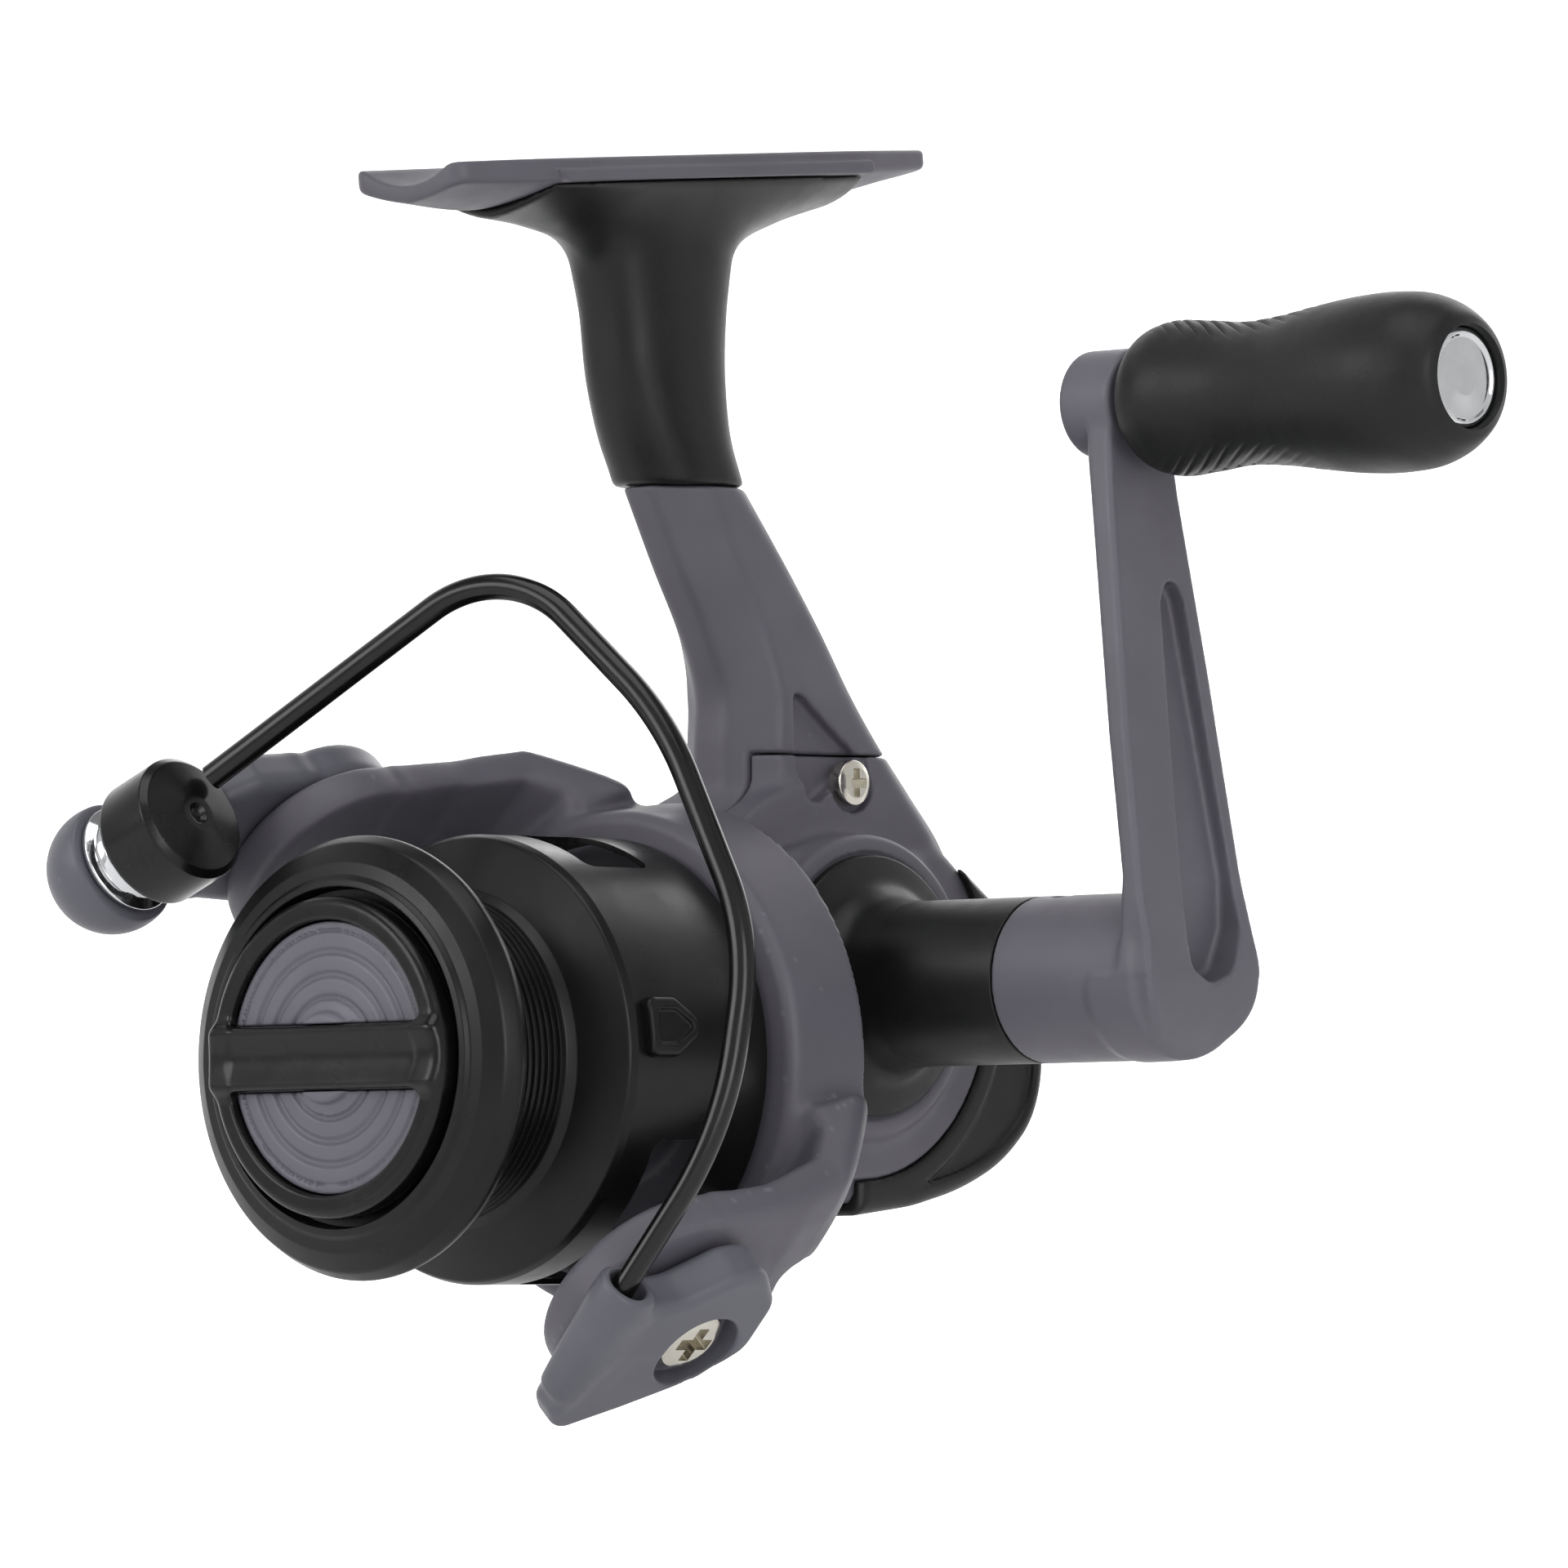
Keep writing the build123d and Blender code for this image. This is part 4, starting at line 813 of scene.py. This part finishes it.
def knob_mesh():
    """The barrel knob: a smooth barrel with veins, a seat for its cap and a closed inner end."""
    stations = np.array([k[0] for k in KNOB])
    radii = np.array([k[1] for k in KNOB])
    length = np.concatenate([[0], np.cumsum(np.hypot(np.diff(stations), np.diff(radii)))])
    table = list(zip(length, stations, radii))
    steps = 300
    around = 256
    angles = [2 * pi * k / around for k in range(around)]
    verts = []
    for along in np.linspace(0, length[-1], steps):
        x = float(track(along, table, 1))
        r = float(track(along, table, 2))
        for a in angles:
            arc = (a + pi / 2) % pi - pi / 2
            shrink = (r - vein_depth(x, abs(arc) * r)) / r
            verts.append((x, r * sin(a) * 0.985 * shrink, KNOB_Z + r * cos(a) * shrink))
    for x, r in CAP_SEAT:
        verts += [(x, r * sin(a), KNOB_Z + r * cos(a)) for a in angles]
    faces = []
    rings = steps + len(CAP_SEAT)
    for i in range(rings - 1):
        faces += ring_quads(i * around, (i + 1) * around, around)
    faces.append(tuple((rings - 1) * around + k for k in range(around)))
    faces.append(tuple(range(around))[::-1])
    return verts, faces


knob_verts, knob_faces = knob_mesh()
knob = new_piece("knob_barrel", knob_verts, knob_faces, HANG, black_rubber)
crease(knob, 50)
stand_in(knob, "knob", "knob_grip")
stand_in(lathe(
    "knob_cap_disc",
    (
        (KNOB_END - 2.0, 0.0), (KNOB_END - 2.0, 3.8), (KNOB_END - 0.75, 3.8, 0.15),
        (KNOB_END - 0.55, 3.4, 0.2), (KNOB_END - 0.8, 3.1, 0.2), (KNOB_END - 0.62, 1.4, 2.0),
        (KNOB_END - 0.55, 0.0),
    ),
    "X", (0, KNOB_Z), HANG, chrome, radius=0.05,
), "knob", "knob_cap")

# ---- rotor ----
ARM_PROFILE = (
    (17.0, -11.5), (20.3, -11.5), (22.4, -12.6), (24.2, -16.0), (25.6, -21.5), (ARM_OUT, -28.0),
    (ARM_OUT, -41.6), (ARM_IN, -41.6), (ARM_IN, -25.0), (21.2, -19.6), (18.9, -17.8), (17.0, -17.8),
)
ARM_OUTLINE = (
    (-11.5, 0.5), (-11.5, 14.2), (-14.5, 13.2, 3.0), (-19.0, 10.8, 6.0), (-24.0, 8.9, 9.0),
    (BAIL_Y, 7.7), (BAIL_Y, -10.2), (-22.5, -8.7), (-17.2, -7.2), (-15.4, -5.0), (-18.0, -1.6),
    (-19.0, 1.2), (-17.0, 2.0),
)


def rotor_field(p, y, q):
    r = np.sqrt(p ** 2 + q ** 2)
    skin = r - (19.45 + (y + 18.6) * 0.12)
    ring = edge_round(skin, -(y + 18.75), 0.9)
    ring = common(ring, y + 11.5, 0.15)
    ring = carve(ring, edge_round(r - 18.6, -(y + 16.9), 0.5), 0.1)
    tower = edge_round(r - 9.5, band(y, -23.9, -16.0), 0.4)
    ring = merge(ring, tower, 0.8)
    ring = carve(ring, np.maximum(r - 8.0, band(y, -22.4, -10)))
    reach_p = np.abs(p)
    profile = outline(reach_p, y, ARM_PROFILE, 1.2)
    arm = common(profile, outline(y, q, ARM_OUTLINE, 1.2), 0.9)
    tip = common(profile, disc(y, q, BAIL_Y, -1.5, 9.2), 0.9)
    arm = merge(arm, tip, 0.6)
    limit = np.minimum(27.0, 21.0 + 0.87 * (-11.5 - y))
    arm = common(arm, (r - limit) * 0.8, 1.6)
    body = merge(ring, arm, 1.8)
    hole = disc(y, q, BAIL_Y, BAIL_Q, BAIL_BORE)
    body = carve(body, np.maximum(hole, 20.0 - reach_p))
    # room for the bail spring in the left arm
    pocket = np.maximum(disc(y, q, BAIL_Y, BAIL_Q, 4.2), np.maximum(p + 23.4, -p - 27))
    return carve(body, pocket)


stand_in(sculpt(
    "rotor_frame", (-26.4, -42.0, -21.0), (26.4, -11.0, 21.0), MEDIUM * 1.1, rotor_field, REST,
    grey_rotor,
), "rotor", "rotor")

# ---- bail ----
WIRE_R = 1.0
SOCKET = (28.3, -40.7)                   # where the wire enters the lever, as (p, y)
LEVER = (
    (-41.3, 1.6, 1.0), (-41.4, -4.0, 2.0), (-40.6, -9.2, 1.6), (-38.6, -11.2, 1.4),
    (-33.5, -8.6, 6.0), (-27.6, -5.2, 3.0), (-25.0, -1.5, 2.5), (-25.3, 3.2, 2.5),
    (-28.6, 6.5, 2.5), (-31.5, 6.1, 3.0), (-35.5, 3.3, 3.0), (-38.6, 2.5, 1.5), (-39.6, 3.0, 0.5),
)


def lever_field(p, y, q):
    lever = outline(y, q, LEVER, 1.5)
    # the outer face falls away to the front and to the lower tip
    outer = p - LEVER_OUT + 0.09 * np.maximum(-(q + 2.0), 0)
    lever = edge_round(lever, np.maximum(outer, LEVER_IN - p), 0.9)
    # two soft ridges between the front face and the outer face
    lever = common(lever, (p - 28.9 - 0.10 * (1.5 - q)) * 0.62 - (y + 41.4) * 0.78, 0.35)
    lever = common(lever, (p - 30.0) * 0.86 - (y + 39.6) * 0.5, 0.35)
    lever = common(lever, (LEVER_IN + 1.1 - p) * 0.8 - (y + 41.4) * 0.6, 0.6)
    seat = edge_round(disc(y, q, BAIL_Y + 0.45, BAIL_Q - 0.55, 3.65), 28.1 - p, 0.1)
    lever = carve(lever, seat, 0.3)
    lever = carve(lever, disc(y, q, BAIL_Y, BAIL_Q, BAIL_BORE))
    # socket for the wire
    wall = disc(p, y, SOCKET[0], SOCKET[1], 0)
    taper = 2.3 - 0.13 * np.maximum(1.6 - q, 0)
    collar = edge_round(wall - taper, band(q, -7.5, 3.6), 0.35)
    lever = merge(lever, collar, 1.5)
    lever = common(lever, 26.2 - p, 0.2)
    hole = merge(np.maximum(wall - 1.55, 1.0 - q), np.maximum(wall - 1.1, -q - 3), 0.1)
    return carve(lever, hole, 0.2)


stand_in(sculpt(
    "bail_lever_cast", (25.8, -44.0, -12.4), (30.6, -23.4, 8.4), FINE, lever_field, REST, grey_lever,
), "bail", "bail_lever")

ROLLER_SEAT = Vector((-28.0, -48.8, -6.6))
roller_axis = REST.inverted().to_3x3() @ Vector(JOINTS["roller_turn"]["axis"])
roller_axis.normalize()
roller_turn = roller_axis.to_track_quat("X", "Z").to_matrix().to_4x4()
ROLLER_PLACE = REST @ Matrix.Translation(ROLLER_SEAT) @ roller_turn
CARRIER = (
    (-35.0, 4.9), (-41.0, 4.4), (-43.8, 2.6), (-44.0, -3.0), (-44.3, -6.4), (-45.6, -9.6),
    (-39.5, -8.5), (-33.0, -8.9),
)


def carrier_field(p, y, q):
    blade = merge(outline(y, q, CARRIER, 1.2), disc(y, q, BAIL_Y, BAIL_Q, 7.4), 1.5)
    blade = edge_round(blade, band(p, -LEVER_OUT, -LEVER_IN), 1.3)
    along = (p - ROLLER_SEAT.x) * roller_axis.x + (q - ROLLER_SEAT.z) * roller_axis.z
    head = common(ball(p, y, q, ROLLER_SEAT, 5.1), along - 1.3, 0.25)
    blade = carve(blade, edge_round(ball(p, y, q, ROLLER_SEAT, 5.4), 1.25 - along, 0.2), 0.2)
    carrier = merge(blade, head, 1.4)
    carrier = carve(carrier, np.maximum(ball(p, y, q, ROLLER_SEAT, 7.5), 1.3 - along))
    carrier = carve(carrier, np.maximum(disc(y, q, BAIL_Y, BAIL_Q, 3.05), p + 28.2), 0.3)
    return carve(carrier, disc(y, q, BAIL_Y, BAIL_Q, BAIL_BORE))


stand_in(sculpt(
    "roller_carrier", (-34.0, -54.4, -12.4), (-22.0, -22.8, 7.4), FINE, carrier_field, REST,
    grey_lever,
), "bail", "roller_lever")

stand_in(lathe(
    "wire_cone",
    (
        (4.3, 0.0), (4.3, 4.9, 0.3), (4.7, 5.1, 0.3), (9.3, 5.1, 0.25), (9.8, 4.6, 0.4),
        (10.35, 1.5, 0.3), (10.35, 0.9, 0.2), (10.0, 0.5, 0.2), (9.9, 0.0),
    ),
    "X", (0, 0), ROLLER_PLACE, black_gloss, radius=0.1,
), "bail", "roller_cone")
stand_in(lathe(
    "line_roller_turned",
    (
        (1.5, 1.05), (1.5, 4.3, 0.15), (1.95, 4.35, 0.15), (2.35, 3.6, 0.4), (3.1, 3.4, 0.6),
        (3.7, 3.85, 0.3), (3.95, 4.3, 0.12), (4.15, 4.3, 0.1), (4.15, 1.05),
    ),
    "X", (0, 0), ROLLER_PLACE, chrome, radius=0.05,
), "line_roller", "line_roller")

# the wire leaves the roller cone, arches over the spool and ends in the bail lever
WIRE = (
    (-26.6, -46.7, 4.4), (-22.8, -36.6, 31.8), (-3.5, -34.0, 32.4), (14.5, -34.0, 26.6),
    (24.4, -36.6, 16.0), (28.3, -40.9, 1.6),
)
WIRE_BENDS = (9.0, 26.0, 20.0, 26.0)


def bent_path(corners, bends, steps=28):
    """Points along a bent wire: straight runs joined by arcs, evenly enough for a tube."""
    corners = [Vector(c) for c in corners]
    out = [corners[0]]
    for i, r in enumerate(bends):
        here = corners[i + 1]
        before = (corners[i] - here).normalized()
        after = (corners[i + 2] - here).normalized()
        half = before.angle(after) / 2
        centre = here + (before + after).normalized() * (r / sin(half))
        start = here + before * (r / tan(half)) - centre
        stop = here + after * (r / tan(half)) - centre
        turn = start.angle(stop)
        for k in range(steps + 1):
            f = k / steps
            mix = start * sin((1 - f) * turn) + stop * sin(f * turn)
            out.append(centre + mix / sin(turn))
    out.append(corners[-1])
    path = [out[0]]
    for a, b in zip(out, out[1:]):
        runs = max(1, int((b - a).length / 1.2))
        path += [a.lerp(b, k / runs) for k in range(1, runs + 1)]
    return path


def tube(name, path, radius, place, material, around=28):
    """A closed tube along a path, without twist; radius(f) gives its section's two half axes."""
    verts = []
    faces = []
    side = Vector((0, 1, 0))
    for i, here in enumerate(path):
        ahead = (path[min(i + 1, len(path) - 1)] - path[max(i - 1, 0)]).normalized()
        side = (side - ahead * side.dot(ahead)).normalized()
        other = ahead.cross(side)
        wide, thick = radius(i / (len(path) - 1))
        for k in range(around):
            a = 2 * pi * k / around
            verts.append(here + side * (wide * cos(a)) + other * (thick * sin(a)))
    for i in range(len(path) - 1):
        faces += ring_quads(i * around, (i + 1) * around, around)
    faces.append(tuple(range(around))[::-1])
    faces.append(tuple(range((len(path) - 1) * around, len(path) * around)))
    piece = new_piece(name, verts, faces, place, material)
    crease(piece, 50)
    return piece


def wire_radius(f):
    """Round along the arch, pressed a little flat where it goes into the lever."""
    flat = max(0.0, (f - 0.72) / 0.28)
    flat = flat * flat * (3 - 2 * flat)
    return WIRE_R * (1 + 0.12 * flat), WIRE_R * (1.02 - 0.14 * flat)


wire = tube("bail_wire_bent", bent_path(WIRE, WIRE_BENDS), wire_radius, REST, black_wire)
stand_in(wire, "bail", "bail_wire")

# ---- spool ----
VENT = rectangle(3.5, 4.3)
spool_profile = [
    (LIP_Y - 2.6, 13.0, 0.15), (LIP_Y - 2.45, 13.6, 0.2), (LIP_Y - 2.05, 13.9, 0.3),
    (LIP_Y - 1.9, 14.9, 0.5), (LIP_Y - 1.0, 16.4, 0.8), (LIP_Y + 0.3, LIP_R, 0.7),
    (LIP_Y + 1.2, 16.7, 0.5), (LIP_Y + 2.6, 13.2, 0.6), (LIP_Y + 3.3, ARBOR_R, 0.4),
]
for n in range(8):
    start = -42.7 + 0.7 * n
    spool_profile += [
        (start, ARBOR_R, 0.05), (start + 0.12, ARBOR_R - 0.3, 0.05),
        (start + 0.24, ARBOR_R - 0.3, 0.05), (start + 0.36, ARBOR_R, 0.05),
    ]
spool_profile += [
    (-36.9, ARBOR_R, 0.3), (-36.3, 13.2, 0.4), (-34.6, 17.1, 0.5), (-33.9, SKIRT_R, 0.4),
    (SKIRT_END, SKIRT_R, 0.15), (SKIRT_END, 16.9, 0.15), (-33.0, 16.9, 0.3), (-35.9, 11.2, 0.3),
    (-39.6, 11.2), (-39.6, 4.6), (-34.2, 4.6), (-34.2, 1.3), (-42.0, 1.3), (-42.0, 9.0),
    (-47.6, 9.0), (-47.6, 12.9, 0.1),
]
spool_piece = lathe("spool_turned", spool_profile, "Y", (0, 0), HANG, black_spool, radius=0.04)


def skirt_frame(turn, y):
    """Frame on the skirt, `turn` degrees round from +X: x back along the spool, z outward."""
    a = radians(turn)
    return Matrix((
        (0, -sin(a), cos(a), 0), (1, 0, 0, y), (0, cos(a), sin(a), 0), (0, 0, 0, 1),
    ))


cut(spool_piece, [
    prism("vent_tool", VENT, 14.0, 20.0, skirt_frame(turn, -27.3), HANG, black_spool, 1.0)
    for turn in (72, 108, 144, 252, 288, 324)
])
crease(spool_piece, 38)
stand_in(spool_piece, "spool", "spool")

CLIP = ((-3.2, -2.3), (-0.2, -2.3), (2.9, 0, 1.2), (-0.2, 2.3), (-3.2, 2.3))
CLIP_DIP = ((-2.3, -1.3), (-0.2, -1.3), (1.7, 0), (-0.2, 1.3), (-2.3, 1.3))


def clip_field(u, v, w):
    pad = edge_round(outline(u, v, CLIP, 0.8), band(w, 16.2, 18.35 - 0.04 * v * v), 0.3)
    return carve(pad, edge_round(outline(u, v, CLIP_DIP, 0.4), 18.0 - w, 0.1), 0.2)


stand_in(sculpt(
    "line_clip_pad", (-3.6, -2.7, 16.0), (3.3, 2.7, 18.7), 0.1, clip_field,
    HANG @ skirt_frame(7, -30.0), black_spool,
), "spool", "line_clip")

# ---- drag knob ----
BAR_HALF = 2.5


def drag_field(x, y, z):
    r = np.sqrt(x ** 2 + z ** 2)
    ring = edge_round(r - KNOB_RING_R, band(y, -50.4, -47.9), 0.7)
    ring = carve(ring, edge_round(r - KNOB_DISC_R, y + 48.85, 0.1), 0.3)
    waist = disc(y, z, -53.9, 0, 3.3)
    bar = edge_round(np.abs(z) - BAR_HALF, -(y + 51.15), 0.7)
    bar = carve(bar, waist, 0.5)
    bar = np.maximum(bar, y + 48.0)
    bar = common(bar, r - 12.2, 0.8)
    knob_shape = merge(ring, bar, 1.0)
    return carve(knob_shape, np.maximum(r - 2.0, -(y + 49.0)))


stand_in(sculpt(
    "drag_knob_moulded", (-12.5, -51.5, -12.5), (12.5, -47.6, 12.5), FINE, drag_field, HANG,
    black_gloss,
), "drag_knob", "drag_knob")


def drag_disc_field(x, y, z):
    r = np.sqrt(x ** 2 + z ** 2)
    face = -49.75 - 0.25 * np.exp(-((r - 3.6) / 1.0) ** 2)
    ripple = 0.30 * np.clip(np.cos(2 * pi * (r - 4.6) / 1.75), 0, 1) ** 2 * (r > 4.4) * (r < 9.8)
    plate = edge_round(r - 10.4, -(y - face) + ripple, 0.15)
    plate = np.maximum(plate, y + 48.9)
    boss_shape = edge_round(r - 3.5, band(y, -50.7, -48.9), 0.5)
    plate = merge(plate, boss_shape, 0.3)
    return np.maximum(plate, BAR_HALF + 0.06 - np.abs(z))


stand_in(sculpt(
    "drag_disc_moulded", (-10.6, -51.0, -10.6), (10.6, -48.7, 10.6), FINE, drag_disc_field, HANG,
    grey_trim,
), "drag_knob", "drag_knob_disc")

# ---- screws ----
# name, head radius, thickness, place, outer face, frame, side, body, node
SCREW_HEADS = (
    ("cover_screw_top", 1.8, 1.4, SCREW, 7.2, HANG, 1, "frame", "cover_screws"),
    ("cover_screw_rear", 1.8, 1.2, (11.4, -7.3), 8.4, HANG, 1, "frame", "cover_screws"),
    ("cover_screw_front", 1.8, 1.2, (-12.4, -7.8), 8.4, HANG, 1, "frame", "cover_screws"),
    ("bail_screw_right", 2.7, 1.4, (BAIL_Y, BAIL_Q), 29.7, REST, 1, "rotor", "bail_screws"),
    ("bail_screw_left", 2.7, 1.4, (BAIL_Y, BAIL_Q), -29.7, REST, -1, "rotor", "bail_screws"),
)


def screw_head(name, head_r, thickness, at, face_x, place, side):
    """A cross-head screw head; its face looks along +X or -X of the given place."""
    profile = (
        (0.0, 0.0), (0.0, head_r * 0.7), (-0.12 * head_r, head_r, 0.15), (-thickness, head_r),
        (-thickness, 0.0),
    )
    profile = [(face_x + side * p[0], *p[1:]) for p in profile]
    head = lathe(name, profile, "X", at, place, nickel, radius=0.12, turns=96)
    lift = Matrix(((0, 0, 1, 0), (1, 0, 0, at[0]), (0, 1, 0, at[1]), (0, 0, 0, 1)))
    low, high = sorted((face_x - side * 0.42 * head_r, face_x + side * 1.0))
    half_width = 0.2 * head_r
    half_length = 0.62 * head_r
    cut(head, [
        prism(name + "_cross", rectangle(*half), low, high, lift, place, nickel, 0.08)
        for half in ((half_length, half_width), (half_width, half_length))
    ])
    crease(head, 30)
    return head


for *shape, body, node in SCREW_HEADS:
    stand_in(screw_head(*shape), body, node)

# ---- studio ----
AZIMUTH = 42.6
ELEVATION = -2.46
ROLL = -0.5
DISTANCE = 967.7
AIM = (0.86, 22.08)                      # aim point, right of and above the drawing origin
FLOOR_GAP = 0.026                        # metres under the reel
BOWL_STEPS = 48

a, e, t = radians(AZIMUTH), radians(ELEVATION), radians(ROLL)
back = Vector((sin(a) * cos(e), -cos(a) * cos(e), sin(e)))
right = Vector((cos(a), sin(a), 0))
up = back.cross(right)
right, up = right * cos(t) + up * sin(t), up * cos(t) - right * sin(t)
eye = right * AIM[0] + up * AIM[1] + back * DISTANCE
turn_only = HANG.to_3x3() * (1 / MM)
camera_data = bpy.data.cameras.new("camera")
camera_data.sensor_width = 36
camera_data.lens = 281.25
camera_data.clip_start = 0.05
camera_data.clip_end = 50
camera = bpy.data.objects.new("camera", camera_data)
bpy.context.scene.collection.objects.link(camera)
rotation = Matrix((
    (right.x, up.x, back.x), (right.y, up.y, back.y), (right.z, up.z, back.z),
))
camera.matrix_world = Matrix.Translation(HANG @ eye) @ (turn_only @ rotation).to_4x4()
bpy.context.scene.camera = camera

floor_z = cad_bounds[0][2] - FLOOR_GAP
FAR_SIDE = 0.78                           # glow of the backdrop behind the reel
DIM_SIDE = 0.08                           # and of the rest of the room
# pale studio: the far side glows, and the side behind the camera stays dim
white = bpy.data.materials.new("studio_white")
white.use_nodes = True
tree = white.node_tree
paint = tree.nodes["Principled BSDF"]
paint.inputs["Base Color"].default_value = (0.82, 0.82, 0.82, 1)
paint.inputs["Roughness"].default_value = 0.9
paint.inputs["Specular IOR Level"].default_value = 0.1
place_node = tree.nodes.new("ShaderNodeTexCoord")
unit = tree.nodes.new("ShaderNodeVectorMath")
unit.operation = "NORMALIZE"
tree.links.new(place_node.outputs["Object"], unit.inputs[0])
facing = tree.nodes.new("ShaderNodeVectorMath")
facing.operation = "DOT_PRODUCT"
facing.inputs[1].default_value = (-back.x, -back.y, 0)
tree.links.new(unit.outputs["Vector"], facing.inputs[0])
spread = tree.nodes.new("ShaderNodeMapRange")
spread.inputs["From Min"].default_value = 0.35
spread.inputs["From Max"].default_value = 0.92
spread.inputs["To Min"].default_value = DIM_SIDE
spread.inputs["To Max"].default_value = FAR_SIDE
tree.links.new(facing.outputs["Value"], spread.inputs["Value"])
paint.inputs["Emission Color"].default_value = (1, 1, 1, 1)
tree.links.new(spread.outputs["Result"], paint.inputs["Emission Strength"])
# flat in the middle, then a rounded rise into a straight wall: radius and height in metres
rings = [(0.02, 0.0), (1.2, 0.0), (1.9, 0.0)]
for k in range(1, 13):
    b = radians(90 * k / 12)
    rings.append((1.9 + 0.9 * sin(b), 0.9 * (1 - cos(b))))
rings.append((2.8, 3.2))
verts = [(0, 0, floor_z)]
faces = []
for r, z in rings:
    for k in range(BOWL_STEPS):
        angle = 2 * pi * k / BOWL_STEPS
        verts.append((r * cos(angle), r * sin(angle), floor_z + z))
for k in range(BOWL_STEPS):
    faces.append((0, 1 + k, 1 + (k + 1) % BOWL_STEPS))
for i in range(len(rings) - 1):
    quads = ring_quads(1 + i * BOWL_STEPS, 1 + (i + 1) * BOWL_STEPS, BOWL_STEPS)
    faces += [(p, s, r, q) for p, q, r, s in quads]
stage_mesh = bpy.data.meshes.new("studio_bowl")
stage_mesh.from_pydata(verts, [], faces)
stage_mesh.polygons.foreach_set("use_smooth", [True] * len(stage_mesh.polygons))
stage = bpy.data.objects.new("studio_bowl", stage_mesh)
bpy.context.scene.collection.objects.link(stage)
stage_mesh.materials.append(white)

world = bpy.data.worlds.new("world")
bpy.context.scene.world = world
world.use_nodes = True
world.node_tree.nodes["Background"].inputs["Color"].default_value = (1, 1, 1, 1)
world.node_tree.nodes["Background"].inputs["Strength"].default_value = 0.22


def softbox(name, place, size, watts):
    """A large rectangular area light aimed at the reel."""
    light = bpy.data.lights.new(name, "AREA")
    light.shape = "RECTANGLE"
    light.size = size[0]
    light.size_y = size[1]
    light.energy = watts
    lamp = bpy.data.objects.new(name, light)
    bpy.context.scene.collection.objects.link(lamp)
    target = HANG @ Vector((8, -15, 15))
    aim = (Vector(place) - target).to_track_quat("Z", "Y")
    lamp.matrix_world = Matrix.Translation(Vector(place)) @ aim.to_matrix().to_4x4()


softbox("front_left", (-0.45, -1.10, 0.45), (0.8, 0.6), 4.6)
softbox("front_right", (1.05, -0.50, 0.10), (0.5, 0.9), 4.4)
softbox("overhead", (0.15, -0.25, 1.05), (0.9, 0.9), 4.6)
softbox("rear", (-0.35, 1.05, 0.45), (0.9, 0.7), 3.0)

view = bpy.context.scene.view_settings
view.view_transform = "Standard"
view.look = "None"
